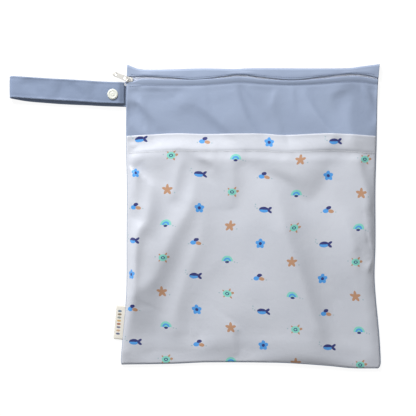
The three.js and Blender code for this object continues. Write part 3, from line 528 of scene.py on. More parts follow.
# `at` runs up the bag; left and right are how far each seam strays outward, as shares of the width
sideSeams = {
    "at": [-0.0165, -0.014, -0.008, 0.0, 0.013, 0.075, 0.15, 0.22, 0.3, 0.4, 0.6, 0.75, 0.9, 0.97, 1.02],
    "left": [0.0175, 0.0175, 0.0175, 0.021, 0.0224, 0.0168, 0.009, 0.002,
             -0.001, -0.001, -0.002, 0.002, 0.001, -0.001, -0.003],
    "right": [0.0075, 0.0115, 0.0155, 0.0178, 0.0182, 0.0145, 0.007, -0.001,
              -0.0065, -0.0028, -0.0028, 0.002, 0.005, 0.0085, 0.0136],
}
# `at` runs across the bag in the tables below
bottomSeam = {
    "at": [0, 0.2, 0.33, 0.6, 0.7, 0.8, 0.9, 1],
    "drop": [0.0027, 0, -0.0047, -0.0034, 0.001, 0.0075, 0.0155, 0.0163],
}
topFold = {
    "at": [0, 0.038, 0.07, 0.17, 0.3, 0.42, 0.5, 0.87, 0.935, 1],
    "rise": [0.0163, 0.0034, -0.0006, 0, 0.0034, 0.0014, 0.004, 0.004, 0.0108, 0.0183],
}
# flap and coil are shares of the zip's wave; hem is from the coil down to the hem's stitches, in millimetres
zipLine = {
    "at": [0, 0.07, 0.16, 0.28, 0.39, 0.445, 0.54, 0.66, 0.77, 0.87, 0.93, 1],
    "flap": [0.44, 0.5, 0.24, -0.24, 0.56, 0.88, 0.3, -0.38, 0.34, 1.04, 0.98, 0.14],
    "coil": [-0.36, -0.06, -0.2, -0.24, 0.2, 0.46, -0.1, -0.45, -0.04, 0.5, 0.48, -0.22],
    "hem": [8.6, 8.3, 8.0, 7.5, 7.5, 7.5, 6.4, 6.0, 6.6, 7.1, 7.0, 6.6],
}
pocketEdge = {
    "at": [0, 0.066, 0.2, 0.31, 0.45, 0.55, 0.625, 0.82, 1],
    "rise": [-1, -0.45, 0.45, 0.05, 0.3, 0.25, -0.5, 0.35, -1],
}


def bottomLine(across):
    return bottomY - bag["height"] * follow(bottomSeam, "drop", across)


def topLine(across):
    return topY + bag["height"] * follow(topFold, "rise", across)


def pocketLine(across):
    return bottomY + bag["pocketHeight"] + bag["pocketWave"] * follow(pocketEdge, "rise", across)


def pocketStitchLine(across):
    return pocketLine(across) - bag["pocketHem"]


def coilLine(across):
    return topY - bag["zipDrop"] + bag["zipWave"] * follow(zipLine, "coil", across)


def besideSlider(across):
    return 1 - smooth((across * bag["width"] - bag["sliderEnd"]) / bag["sliderLength"])


def edgeRoom(across):
    return lerp(bag["coilWidth"] / 2 + bag["gap"], bag["sliderRoom"], besideSlider(across))


def hemLine(across):
    # the hem covers the coil's lower half, and makes room for the slider
    return coilLine(across) - edgeRoom(across) + bag["hemOver"] * (1 - besideSlider(across))


def zipStitchLine(across):
    return coilLine(across) - follow(zipLine, "hem", across)


def flapLine(across):
    wavy = topY - bag["zipDrop"] + bag["zipWave"] * follow(zipLine, "flap", across)
    lowest = hemLine(across) + 2 * bag["gap"]
    return np.maximum(wavy, lerp(lowest, coilLine(across) + edgeRoom(across), besideSlider(across)))


def placeAcross(across, y):
    up = (y - bottomY) / bag["height"]
    left = -bag["width"] * (0.5 + follow(sideSeams, "left", up))
    right = bag["width"] * (0.5 + follow(sideSeams, "right", up))
    return lerp(left, right, across)


def fromSide(across):
    return np.minimum(across, 1 - across) * bag["width"]


def swell(distance, reach):
    return np.sin(np.clip(distance / reach, 0, 1) * math.pi / 2)


def zipHeight(across):
    return lerp(bag["zipEdgeHeight"], bag["zipMidHeight"], smooth(fromSide(across) / bag["sideReach"]))


# Folds are (path, widths to the left, widths to the right, heights, roundness of the crest), in millimetres
# from the bag's lower left corner. Left and right are as seen when going along a path, each at its start and
# its end; the heights are at its start, middle and end. Hills are (x, y, reach across, reach up, height).
# A fitting program worked out the numbers of these four tables, from folds first placed one by one.
pocketFolds = [
    ([(87, 263), (80, 206), (71, 181), (54, 152), (35, 109), (24, 96), (5, 76), (14, 20)],
     (12, 23), (10, 34), (4.6, 4.6, 5.5), 6.0),
    ([(33, 241), (28, 204), (22, 172), (9, 143), (-2, 22)], (21, 4), (18, 4), (-0.4, 5.3, 5.5), 5.5),
    ([(75, 259), (62, 236), (58, 216), (50, 185)], (13, 14), (34, 4), (-2.3, 4.3, -1.2), 3.7),
    ([(12, 232), (7, 223), (-9, 180)], (4, 19), (34, 7), (3.8, 5.5, 5.5), 6.0),
    ([(100, 246), (92, 163), (74, 110), (60, 60), (60, 42), (57, 20)],
     (22, 10), (8, 17), (-0.2, 3.4, 1.0), 6.0),
    ([(129, 234), (172, 226), (193, 216), (215, 197), (246, 202)], (4, 12), (15, 19), (2.0, -4.0, 1.9), 6.0),
    ([(254, 261), (244, 231), (238, 217), (220, 187)], (24, 6), (4, 24), (2.0, -2.4, 0.6), 6.0),
    ([(125, 263), (127, 218), (126, 198), (127, 181)], (10, 4), (31, 16), (4.0, 2.3, -0.4), 6.0),
    ([(177, 224), (191, 159), (204, 122), (214, 93), (227, 46), (242, 11)],
     (21, 6), (26, 6), (5.5, 5.5, 2.4), 6.0),
    ([(296, 146), (292, 145), (282, 143), (274, 130), (286, 116), (311, 99)],
     (19, 4), (34, 34), (-5.2, -0.3, -3.3), 1.1),
    ([(272, 141), (290, 122), (298, 118)], (6, 20), (4, 6), (0.4, -0.8, 5.5), 6.0),
    ([(291, 138), (288, 90), (292, 28), (286, -12)], (34, 19), (5, 9), (0.1, 2.1, 1.2), 6.0),
    ([(279, 260), (285, 221), (305, 176)], (4, 7), (34, 5), (5.5, 2.4, 5.5), 3.6),
    ([(176, 166), (150, 135), (153, 70)], (15, 34), (16, 12), (-0.6, -0.3, 1.4), 6.0),
    ([(231, 213), (273, 145), (277, 38)], (5, 7), (34, 33), (-1.5, 2.5, -0.2), 6.0),
    ([(132, 146), (78, 80), (93, 13)], (17, 16), (12, 14), (0.1, 0.3, -5.5), 6.0),
    ([(6, 229), (38, 254), (69, 259)], (12, 7), (34, 6), (-5.5, 0.0, -3.9), 6.0),
    ([(80, 253), (106, 238), (95, 220)], (4, 14), (4, 10), (1.2, 1.5, -1.3), 2.5),
    ([(135, 48), (128, 37), (129, 21), (134, 4)], (5, 4), (17, 34), (1.2, 1.9, 1.2), 6.0),
]
pocketHills = [
    (28, 32, 28, 28, -4.0), (62, 60, 31, 44, -3.9), (151, 28, 41, 28, -3.7), (222, -15, 58, 28, 5.5),
    (273, 18, 30, 36, -4.4), (-5, 77, 28, 90, 5.5), (125, 98, 72, 62, -4.5), (85, -22, 90, 62, -2.8),
    (241, 73, 33, 64, -4.3), (272, 75, 28, 42, -4.5), (31, 139, 40, 28, 2.7), (72, 153, 55, 74, -3.6),
    (130, 190, 33, 35, -2.8), (231, 151, 28, 57, -1.9), (306, 153, 28, 90, 5.5), (-15, 265, 45, 89, 5.5),
    (66, 225, 76, 33, -5.0), (166, 205, 32, 31, 2.7), (219, 233, 53, 28, 5.4), (245, 270, 70, 83, -5.5),
]
yokeFolds = [
    ([(0, 308), (13, 318), (20, 310), (37, 290), (40, 269)], (17, 34), (4, 5), (1.8, 2.9, -0.6), 3.7),
    ([(10, 318), (22, 303), (33, 254)], (4, 4), (21, 34), (1.9, 1.7, -0.2), 0.9),
    ([(58, 292), (64, 311), (78, 314), (86, 312), (94, 307), (117, 287), (144, 262)],
     (17, 34), (9, 4), (1.9, 2.0, 4.6), 6.0),
    ([(123, 354), (133, 320), (142, 296), (149, 284), (169, 252)], (4, 4), (23, 34), (2.4, 2.6, 2.4), 5.0),
    ([(135, 340), (155, 317), (180, 280)], (34, 8), (4, 4), (1.2, 1.5, -0.7), 2.2),
    ([(183, 340), (176, 317), (176, 308), (185, 292), (203, 247)], (8, 25), (6, 4), (0.6, 1.0, -4.1), 1.7),
    ([(199, 339), (196, 341), (203, 292)], (4, 4), (10, 18), (-1.9, 1.0, 0.2), 1.5),
    ([(199, 343), (214, 322), (227, 300), (244, 279), (262, 266)], (4, 6), (20, 26), (-0.6, 2.8, 4.3), 1.7),
    ([(249, 293), (246, 324), (272, 334), (277, 336)], (10, 7), (7, 5), (-0.3, 1.7, 0.7), 3.2),
    ([(271, 344), (272, 323), (267, 292), (278, 246)], (11, 34), (6, 28), (-2.6, 3.5, 5.5), 4.8),
    ([(275, 343), (290, 320), (301, 286)], (9, 4), (6, 10), (1.5, 3.6, -3.7), 2.7),
    ([(11, 319), (56, 320), (60, 337)], (4, 6), (10, 6), (-0.6, -0.6, -1.2), 3.9),
    ([(-2, 295), (16, 278), (29, 281)], (5, 9), (9, 9), (4.1, 2.5, 0.3), 6.0),
    ([(97, 334), (98, 327), (106, 300)], (8, 5), (4, 4), (-1.7, -0.6, -0.4), 0.9),
]
yokeHills = [
    (22, 279, 41, 90, -4.5), (106, 283, 42, 49, -2.3), (133, 343, 28, 28, -2.1), (172, 320, 61, 46, -1.6),
    (211, 295, 33, 28, 2.1), (279, 322, 28, 38, -4.8),
]
strap = {
    "width": 25.2, "thickness": 1.5, "reach": 140.5, "inset": 8.0, "drop": 32.4, "loop": 6.9, "endGap": 2.7,
    "snapPlace": 16.4, "droop": 2.6, "tilt": 1.0, "stitchInset": 2.1,
    "crossSeam": 0.205,  # the row of stitches across the strap, as a share of its reach
}
label = {"height": 40.0, "reach": 10.8, "inset": 7.0, "thickness": 1.0, "place": 49.0}
strapY = topY - strap["drop"]
labelY = bottomY + label["place"]


def seamLift(across, y):
    # what is sewn into the left seam holds the front panel up there
    def zone(middle, half):
        return smooth((half + 26 - np.abs(y - middle)) / 14)

    onTape = smooth((y - hemLine(across) + bag["lowerTapeWidth"] + 26) / 14)
    overTape = (bag["tape"] + bag["gap"]) * onTape
    overStrap = (strap["thickness"] + bag["gap"] + overTape) * zone(strapY, strap["width"] / 2)
    overLabel = (label["thickness"] + bag["gap"]) * zone(labelY, label["height"] / 2)
    inward = 1 - smooth((across * bag["width"] - strap["inset"] - bag["gap"]) / bag["sideReach"])
    return np.maximum(overStrap, overLabel) * inward


def fromCorner(across, y):
    return across * bag["width"], y - bottomY


def seamPuckers(across, y, seed):
    # short ripples that run in from the side seams, where the thread draws the cloth up
    side = fromSide(across)
    which = np.where(across < 0.5, 0, 400)
    ripple = softNoise(y, which, 7.0, seed, 0) * 0.45 + softNoise(y, which, 17.0, seed + 1, 0) * 0.5
    return ripple * np.exp(-side / 11) * smooth(side / 3)


def frontRest(across, y):
    # the front panel's underside where nothing presses on it
    side, below, hem = fromSide(across), hemLine(across) - y, hemLine(across) - zipStitchLine(across)
    body = bag["mainPuff"] * swell(side, bag["sideReach"]) * swell(y - bottomLine(across), bag["bottomReach"])
    atZip = zipHeight(across) + bag["tape"] / 2 + bag["gap"] + 0.25 - seamUnderside
    atStitches = atZip - bag["zipGroove"]
    strip = atZip - bag["zipGroove"] * np.clip(below / hem, 0, 1) ** 2
    pastStitches = np.clip(below - hem, 0, None)
    nearZip = np.where(pastStitches > 0, atStitches + 1.1 * (1 - np.exp(-pastStitches / 3.5)), strip)
    hollow = lerp(nearZip, body, smooth((pastStitches - 3) / bag["yokeReach"]))
    x, up = fromCorner(across, y)
    shown = smooth((below - hem) / 9) * smooth((y - pocketLine(across) + 38) / 34)
    folds = foldField(yokeFolds, x, up) + hillField(yokeHills, x, up)
    folds = folds + seamPuckers(across, y, 31) + softNoise(x, up, 23, 5) * 0.15
    gathers = softNoise(x, up * 0.2, 6.5, 12, 0) * 0.3 * np.exp(-np.maximum(below - hem, 0) / 10)
    resting = np.maximum(hollow, seamLift(across, y))
    return seamUnderside + resting + (folds + gathers) * shown * swell(side, 9)


# the pocket's cloth below its hem's stitches, in millimetres: a soft ledge, the hollow under it, the groove
# and gathers that the stitches draw, and the turned-in layer of the hem as a share of the cloth
pocketHemShape = {
    "ledge": 1.0, "ledgeAt": 9, "ledgeSpread": 5.5, "hollow": 0.25, "hollowAt": 21, "hollowSpread": 8,
    "groove": 0.12, "grooveSpread": 1.3, "gathers": 0.35, "gathersAt": 2, "gathersSpread": 9, "fold": 0.45,
}


def bell(distance, spread):
    return np.exp(-((distance / spread) ** 2))


def pocketUnderside(across, y):
    s = pocketHemShape
    side, up = fromSide(across), y - bottomLine(across)
    puff = bag["pocketPuff"] * swell(side, bag["sideReach"]) * swell(up, bag["bottomReach"])
    x, corner = fromCorner(across, y)
    below = pocketStitchLine(across) - y
    puff *= lerp(1, 0.1, smooth(-below / bag["pocketHem"]))
    folds = foldField(pocketFolds, x, corner) + hillField(pocketHills, x, corner)
    folds = folds + softNoise(x, corner, 31, 3) * 0.2 + softNoise(x, corner, 14, 4) * 0.12
    edges = swell(side, 12) * swell(up, 16)
    atHem = lerp(0.12, 1, smooth((below + 5) / 18))
    fullness = np.clip(0.55 + 0.75 * softNoise(x, 0 * x, 24, 9, 0), 0, 1.2)
    ledge = s["ledge"] * bell(below - s["ledgeAt"], s["ledgeSpread"])
    ledge = (ledge - s["hollow"] * bell(below - s["hollowAt"], s["hollowSpread"])) * fullness
    groove = -s["groove"] * bell(below, s["grooveSpread"])
    gathers = softNoise(x, corner * 0.15, 5.5, 8, 0) * s["gathers"]
    gathers = gathers * bell(below - s["gathersAt"], s["gathersSpread"])
    shape = (folds * atHem + seamPuckers(across, y, 41) + ledge + gathers) * edges + groove * swell(side, 6)
    clear = frontRest(across, y) + bag["cloth"] + bag["gap"]
    lowest = lerp(seamUnderside + bag["cloth"] + bag["gap"], clear, smooth((y - pocketLine(across) + 12) / 9))
    return np.maximum(clear + puff + shape, lowest)


def frontUnderside(across, y):
    # deep folds of the pocket push the front panel down with them
    rest = frontRest(across, y)
    pressed = np.maximum(rest + bag["cloth"] + bag["gap"] - pocketUnderside(across, y), 0)
    return rest - pressed * smooth((pocketLine(across) - y) / 2)


def frontTop(across, y):
    return frontUnderside(across, y) + bag["cloth"]


def pocketTop(across, y):
    hem = pocketHemShape["fold"] * bag["cloth"] * smooth((y - pocketStitchLine(across) + 1) / 4)
    return pocketUnderside(across, y) + bag["cloth"] + hem


def columnShares(cells=140):
    # places across the bag, closer together beside the seams
    near = np.array([0, 0.5, 1.2, 2.2, 3.6, 5.5]) / bag["width"]
    middle = np.linspace(7.6 / bag["width"], 1 - 7.6 / bag["width"], cells)
    return np.concatenate([near, middle, 1 - near[::-1]])


def rowLines(lines, shares, across):
    # heights up the bag between each line and the next
    rows = [lines[0](across)]
    for start, end, part in zip(lines[:-1], lines[1:], shares):
        rows += [lerp(start(across), end(across), share) for share in part]
    return np.array(rows)


def evenShares(cells):
    return (np.arange(cells) + 1) / cells


def edgeShares(cells):
    return np.concatenate([[0.002, 0.005, 0.009, 0.015, 0.022], lerp(0.022, 1, evenShares(cells))])


def surface(across, rows, height, inset=(0, 0)):
    # points of a sheet; inset draws its left and right edges in, in millimetres
    grid = np.broadcast_to(across, rows.shape)
    x = placeAcross(grid, rows) + lerp(inset[0], -inset[1], grid)
    return np.stack([x, rows, height(grid, rows)], axis=2)


def dropEdges(upper, lower, radius, bottomToo=True):
    # rounds the upper side down to the lower one beside the seams
    left, right = upper[:, :1, 0], upper[:, -1:, 0]
    away = np.minimum(upper[:, :, 0] - left, right - upper[:, :, 0])
    if bottomToo:
        away = np.minimum(away, upper[:, :, 1] - upper[:1, :, 1])
    share = 1 - np.clip(away / radius, 0, 1)
    thick = upper[:, :, 2] - lower[:, :, 2]
    upper[:, :, 2] -= thick * 0.75 * (1 - np.sqrt(1 - share**2))
    return upper


across = columnShares()

# the pocket
pocketShares = [edgeShares(118), evenShares(14)]
rows = rowLines([bottomLine, pocketStitchLine, pocketLine], pocketShares, across)
# the blue panels show as a line along the bottom seam
rows[:5] += np.array([0.9, 0.9, 0.9, 0.7, 0.4])[:, None]
upper = surface(across, rows, pocketTop, (0.5, 1.1))
lower = surface(across, rows, pocketUnderside, (0.5, 1.1))
upper = dropEdges(upper, lower, 1.6)
pocket = sheetMesh("pocket_panel_cloth", upper, lower, printedCloth, "printed_cloth",
                   flat=flatCoordinates(upper))
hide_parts("pocket_panel")

# the front panel, from the bottom seam to its hem under the zip
frontShares = [edgeShares(118), evenShares(14), evenShares(34), evenShares(8)]
rows = rowLines([bottomLine, pocketStitchLine, pocketLine, zipStitchLine, hemLine], frontShares, across)
upper, lower = surface(across, rows, frontTop), surface(across, rows, frontUnderside)
upper = dropEdges(upper, lower, 1.4)
front = sheetMesh("front_panel_cloth", upper, lower, blueCloth, "blue_cloth", flat=flatCoordinates(upper))
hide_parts("front_panel")


# the back panel: flat on the floor, round at the top, and back as the flap above the zip
def backSheet():
    flapCloth = 0.8 * bag["cloth"]

    def flapTop(a):
        return zipHeight(a) + bag["coilThickness"] / 2 + 0.1 + flapCloth

    def rollLine(a):
        return topLine(a) - flapTop(a) / 2

    floorRows = rowLines([bottomLine, rollLine], [edgeShares(60)], across)
    outer = [surface(across, floorRows, lambda a, y: np.zeros(y.shape))]
    inner = [surface(across, floorRows, lambda a, y: np.full(y.shape, bag["cloth"]))]
    for angle in np.linspace(-90, 90, 15)[1:]:
        for rings, inset in ((outer, 0.0), (inner, flapCloth)):
            middle = flapTop(across) / 2
            radius = middle - inset
            y = rollLine(across) + radius * math.cos(math.radians(angle))
            z = middle + radius * math.sin(math.radians(angle))
            rings.append(np.stack([placeAcross(across, y), y, z], axis=1)[None])
    flapRows = rowLines([rollLine, flapLine], [evenShares(12)], across)[1:]
    share = np.linspace(0, 1, len(flapRows))[:, None]
    x = across * bag["width"]
    ripple = softNoise(x, 0, 17, 21, 0) * 0.35 + softNoise(x, 0, 6, 22, 0) * 0.25
    crown = (0.2 + ripple) * np.sin(share * math.pi) * swell(fromSide(across), 12)
    outer.append(surface(across, flapRows, lambda a, y: flapTop(a) + crown))
    inner.append(surface(across, flapRows, lambda a, y: flapTop(a) - flapCloth + crown))
    return np.concatenate(outer), np.concatenate(inner)


outer, inner = backSheet()
back = sheetMesh("back_panel_cloth", outer, inner, blueCloth, "blue_cloth", rim=0.35,
                 flat=flatCoordinates(outer))
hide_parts("back_panel")
print("stage: panels made")


zipParts = {
    "coilPitch": 1.5, "wire": 0.37, "tapeEnd": 2.2, "tapeEndDepth": 4.2,
    "sliderInset": 2.8, "sliderLength": 9.0, "frontWidth": 6.0, "rearWidth": 4.8,
    "plate": 1.2, "lowerPlate": 1.0,
    "bailForward": 1.2, "bailLength": 3.6, "bailWire": 0.85,
    "pullLength": 20.0, "pullWidth": 6.0, "pullThickness": 1.0, "rod": 1.1, "eyeWidth": 4.1, "eyeLength": 6.2,
    "hole": 2.6, "holeInset": 4.0, "pullYaw": 22.0,
}
coilEdge = bag["coilWidth"] / 2 + bag["gap"]
tapeAcross = lerp(0.005, 0.995, columnShares(120))


def tapeSheet(name, lines, height, node):
    rows = rowLines(lines, [evenShares(4)] * (len(lines) - 1), tapeAcross)
    upper = surface(tapeAcross, rows, height)
    lower = upper - np.array([0, 0, bag["tape"] * 0.6])
    piece = sheetMesh(name, upper, lower, zipTapePaintedShadeCloth, "zip_tape")
    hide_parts(node)
    return piece


def upperTapeEnd(a):
    return topLine(a) - (zipHeight(a) + bag["coilThickness"] / 2 + bag["gap"] + bag["cloth"]) / 2 - bag["gap"]


def tapeHeight(a, y):
    # the tape's edge runs under the coil that is sewn to it
    return zipHeight(a) + 0.3 - 0.8 * (1 - smooth((np.abs(y - coilLine(a)) - 1.2) / 1.2))


upperTape = tapeSheet("zip_tape_upper_cloth",
                      [lambda a: coilLine(a) + 0.2, lambda a: coilLine(a) + 2.6, upperTapeEnd],
                      tapeHeight, "zip_tape_upper")
lowerTape = tapeSheet("zip_tape_lower_cloth", [lambda a: coilLine(a) - coilEdge - bag["lowerTapeWidth"],
                                               lambda a: coilLine(a) - coilEdge, lambda a: coilLine(a) - 0.2],
                      lambda a, y: np.minimum(tapeHeight(a, y), frontUnderside(a, y) - 0.3), "zip_tape_lower")


sliderX = float(placeAcross(0.0, coilLine(0.0))) + zipParts["sliderInset"]


def coilMesh():
    # two interlocked spirals of nylon, half a turn apart
    length = bag["width"] * 0.985
    turns, perTurn = int(length / zipParts["coilPitch"]), 10
    parts = []
    for side in (-1, 1):
        turn = np.arange(turns * perTurn) / perTurn + (0.5 if side > 0 else 0)
        x = sliderX + 1.0 + turn * zipParts["coilPitch"]
        share = np.clip((x + bag["width"] / 2) / bag["width"], 0, 1)
        keep = x < placeAcross(1.0, coilLine(1.0)) - 1.5
        share, turn, x = share[keep], turn[keep], x[keep]
        y = coilLine(share) + side * (0.8 + 1.05 * np.cos(turn * 2 * np.pi))
        z = zipHeight(share) + 0.5 * np.sin(turn * 2 * np.pi)
        parts.append(tube(np.stack([x, y, z], axis=1), zipParts["wire"], sides=5))
    return newObject("zip_coil_nylon", *joined(parts), coilNylonPaintedShade, slot="zip_coil")


coil = coilMesh()
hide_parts("zip_coil")

sliderShare = zipParts["sliderInset"] / bag["width"]
sliderY, sliderZ = float(coilLine(sliderShare)), float(zipHeight(sliderShare))
plateGap = bag["coilThickness"] + 2 * bag["gap"]
plateTop = sliderZ + plateGap / 2 + zipParts["plate"]
bailX = sliderX - zipParts["bailForward"]
rodRoom = zipParts["rod"] + 2 * bag["gap"]


def sliderMesh():
    half, front, rear = zipParts["sliderLength"] / 2, zipParts["frontWidth"] / 2, zipParts["rearWidth"] / 2
    outline = arc(-half + 2.2, -front + 2.2, 2.2, 180, 270, 6)
    outline += arc(half - 0.8, -rear + 0.8, 0.8, 270, 360, 4)
    outline += [(x, -y) for x, y in reversed(outline)]
    parts = []
    for name, thick, side in (("Upper", zipParts["plate"], 1), ("Lower", zipParts["lowerPlate"], -1)):
        verts, faces = plate("slider" + name, outline, [], thick, 0.28)
        z = sliderZ + side * plateGap / 2 + side * thick / 2
        parts.append((verts + np.array([sliderX, sliderY, z]), faces))
    neck = [(-0.9, -1.0), (0.9, -0.6), (0.9, 0.6), (-0.9, 1.0)]
    verts, faces = plate("sliderNeck", neck, [], plateGap + 0.4, 0.1)
    parts.append((verts + np.array([sliderX - half + 1.2, sliderY, sliderZ]), faces))
    inner, wire = zipParts["bailLength"] / 2, zipParts["bailWire"] / 2
    top = rodRoom + wire
    arch = [(inner * 0.72, top * 0.93), (inner + wire + 0.1, top * 0.45), (inner + wire + 0.25, -0.3)]
    arch = [(-x, z) for x, z in reversed(arch)] + [(0, top + 0.06)] + arch
    path = smoothPath([(bailX + x, sliderY, plateTop + z) for x, z in arch], 28)
    parts.append(tube(path, wire, sides=10, flatten=1.15, up=(0, 1, 0)))
    return newObject("zip_slider_metal", *joined(parts), zipNickel, slot="zip_metal")


slider = sliderMesh()
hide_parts("zip_slider")


def pullMesh():
    # its own frame has the rod across the origin and the tip on +X
    s = zipParts
    half, eye, length = s["pullWidth"] / 2, s["eyeWidth"] / 2, s["pullLength"]
    outline = arc(0.2, -half + 0.5, 0.5, 180, 270, 4)
    outline += [(s["eyeLength"] + 1.5, -half), (s["eyeLength"] + 4, -half * 0.9)]
    outline += arc(length - half, 0, half, -90, 90, 14)
    outline += [(s["eyeLength"] + 4, half * 0.9), (s["eyeLength"] + 1.5, half)]
    outline += arc(0.2, half - 0.5, 0.5, 90, 180, 4)
    hole = arc(length - s["holeInset"], 0, s["hole"] / 2, 360, 30, 12)
    window = [(0.75, -eye), (0.75, eye)] + arc(s["eyeLength"] - 1.2, eye - 1.2, 1.2, 90, 0, 4)
    window += arc(s["eyeLength"] - 1.2, -eye + 1.2, 1.2, 0, -90, 4)
    parts = [plate("pullBlade", outline, [hole, window], s["pullThickness"], 0.22)]
    rod = [(0, y, 0) for y in np.linspace(-half + 0.1, half - 0.1, 6)]
    parts.append(tube(rod, s["rod"] / 2, sides=12))
    turn = np.arange(25) * 2 * np.pi / 24
    ringPath = np.stack([length - s["holeInset"] + (s["hole"] / 2 + 0.35) * np.cos(turn),
                         (s["hole"] / 2 + 0.35) * np.sin(turn), np.full(25, s["pullThickness"] / 2)], axis=1)
    parts.append(tube(ringPath, 0.22, sides=6))
    verts, faces = joined(parts)
    yaw = math.radians(180 - s["pullYaw"])
    cosine, sine = math.cos(yaw), math.sin(yaw)
    swung = verts @ np.array([[cosine, sine, 0], [-sine, cosine, 0], [0, 0, 1]])
    place = np.array([bailX, sliderY, plateTop + bag["gap"] + s["rod"] / 2])
    return newObject("zip_pull_metal", swung + place, faces, zipNickel, body="pull", slot="zip_metal")


pull = pullMesh()
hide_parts("zip_pull")


def tapeEndMesh():
    # the tape's end that the seam leaves sticking out, melted at its corner
    y = coilLine(0.0) - coilEdge
    right, left = placeAcross(0.01, y) - 0.3, placeAcross(0.0, y) - zipParts["tapeEnd"]
    xs = np.linspace(left, right, 8)
    ys = np.linspace(0, -zipParts["tapeEndDepth"], 8)
    gx, gy = np.meshgrid(xs, ys, indexing="ij")
    gy = gy * lerp(0.75, 1, (gx - left) / (right - left))
    level = zipHeight(0.0) - bag["tape"] / 2 + 0.25 + 0.3 * ((gx - right) / (right - left)) ** 2
    upper = np.stack([gx, y + gy, level + 0.5], axis=2)
    lower = np.stack([gx, y + gy, level], axis=2)
    return sheetMesh("zip_tape_end_cloth", upper, lower, zipTapePaintedShadeCloth, "zip_tape")


tapeEnd = tapeEndMesh()
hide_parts("zip_tape_end")
print("stage: zip made")


strapLine = {
    "at": [0, 0.12, 0.24, 0.36, 0.6, 0.85, 1],
    "lift": [0.85, 1, 0.5, 0, 0, 0, 0],
    "backSide": [0, 0.015, 0.045, 0.085, 0.15, 0.27, 0.42],
    "frontSide": [0.15, 0.165, 0.19, 0.245, 0.32, 0.405, 0.465],
}
snap = {
    "cap": 12.8, "capThickness": 1.5, "part": 10.0, "post": 2.4, "socket": 2.0, "studBase": 1.0, "ball": 4.4,
    "ballHeight": 1.6,
}
snapBackHeight = snap["capThickness"] + bag["gap"] + strap["thickness"] / 2
snapFrontHeight = snapBackHeight + 3 * bag["gap"] + snap["studBase"] + snap["socket"] + strap["thickness"]
seamX = float(placeAcross(0.0, strapY))
snapShare = strap["snapPlace"] / strap["reach"]


upperRows = 64  # rows of points along the strap's upper layer


def strapRoute():
    # the strap's middle line: out along the floor, over, and back to the snap
    half, gapHalf = strap["thickness"] / 2, strap["loop"] / 2
    turnStart = 1 - (gapHalf + half) / strap["reach"]

    def flatNearSnap(share, level, there):
        near = smooth((np.abs(share - snapShare) * strap["reach"] - snap["cap"] / 2) / 7)
        return lerp(there, level, near)

    route = [(seamX + inward, strapY, seamUnderside + half) for inward in (strap["inset"], 1.5)]
    for share in np.linspace(0.0, turnStart, 60):
        level = half + (snapBackHeight - half) * np.clip(follow(strapLine, "lift", share), 0, 1)
        level = flatNearSnap(share, level, snapBackHeight) if share < 2.5 * snapShare else level
        side = float(follow(strapLine, "backSide", share))
        route.append((seamX - share * strap["reach"], strapY + strap["width"] * side, float(level)))
    start, end = follow(strapLine, "backSide", turnStart), follow(strapLine, "frontSide", turnStart)
    for k in range(1, 16):
        angle = k / 16 * math.pi
        x = seamX - turnStart * strap["reach"] - gapHalf * math.sin(angle)
        y = strapY + strap["width"] * float(lerp(start, end, k / 16))
        route.append((x, y, half + gapHalf - gapHalf * math.cos(angle)))
    for share in np.linspace(turnStart, strap["endGap"] / strap["reach"], upperRows):
        level = half + strap["loop"]
        nearSnap = 1 - smooth((share - 2 * snapShare) / (1 - 2 * snapShare))
        level = lerp(level, snapFrontHeight, nearSnap)
        # the free end bends to the bag
        level -= strap["droop"] * float(smooth((9.5 - share * strap["reach"]) / 6.5))
        side = float(follow(strapLine, "frontSide", share))
        route.append((seamX - share * strap["reach"], strapY + strap["width"] * side, float(level)))
    return np.array(route)


def strapSection():
    # across the strap: rounded edges, a shallow groove at each row of stitches, and a soft crown between
    edge = np.array([0.44, 0.465, 0.488, 0.5])
    v = np.concatenate([-edge[::-1], np.linspace(-0.41, 0.41, 11), edge])
    inward = (0.5 - np.abs(v)) * strap["width"]
    groove = 0.3 * bell(inward - strap["stitchInset"], 0.8)
    thick = 0.6 + 0.4 * smooth(inward / 0.9) - groove + 0.1 * smooth((inward - 2.5) / 4)
    return v, thick * strap["thickness"]


# folds of the strap's upper layer, as the bag's are, by the distance along it from the bag's seam and the
# distance from its middle
strapFolds = [
    ([(72, 15), (79, 2), (82, -15)], (7, 7), (15, 15), (1.1, 1.3, 1.1), 2.0),
    ([(35, 15), (40, 1), (42, -15)], (7, 7), (12, 12), (0.8, 1.0, 0.8), 2.0),
    ([(123, 15), (112, 0), (99, -15)], (11, 11), (12, 12), (0.9, 1.2, 0.9), 3.0),
    ([(67, 12), (60, 0), (50, -12)], (9, 9), (9, 9), (0.7, 0.9, 0.7), 2.5),
    ([(132, 4), (110, 7), (88, 6)], (5, 5), (7, 7), (0.5, 0.7, 0.5), 2.0),
]


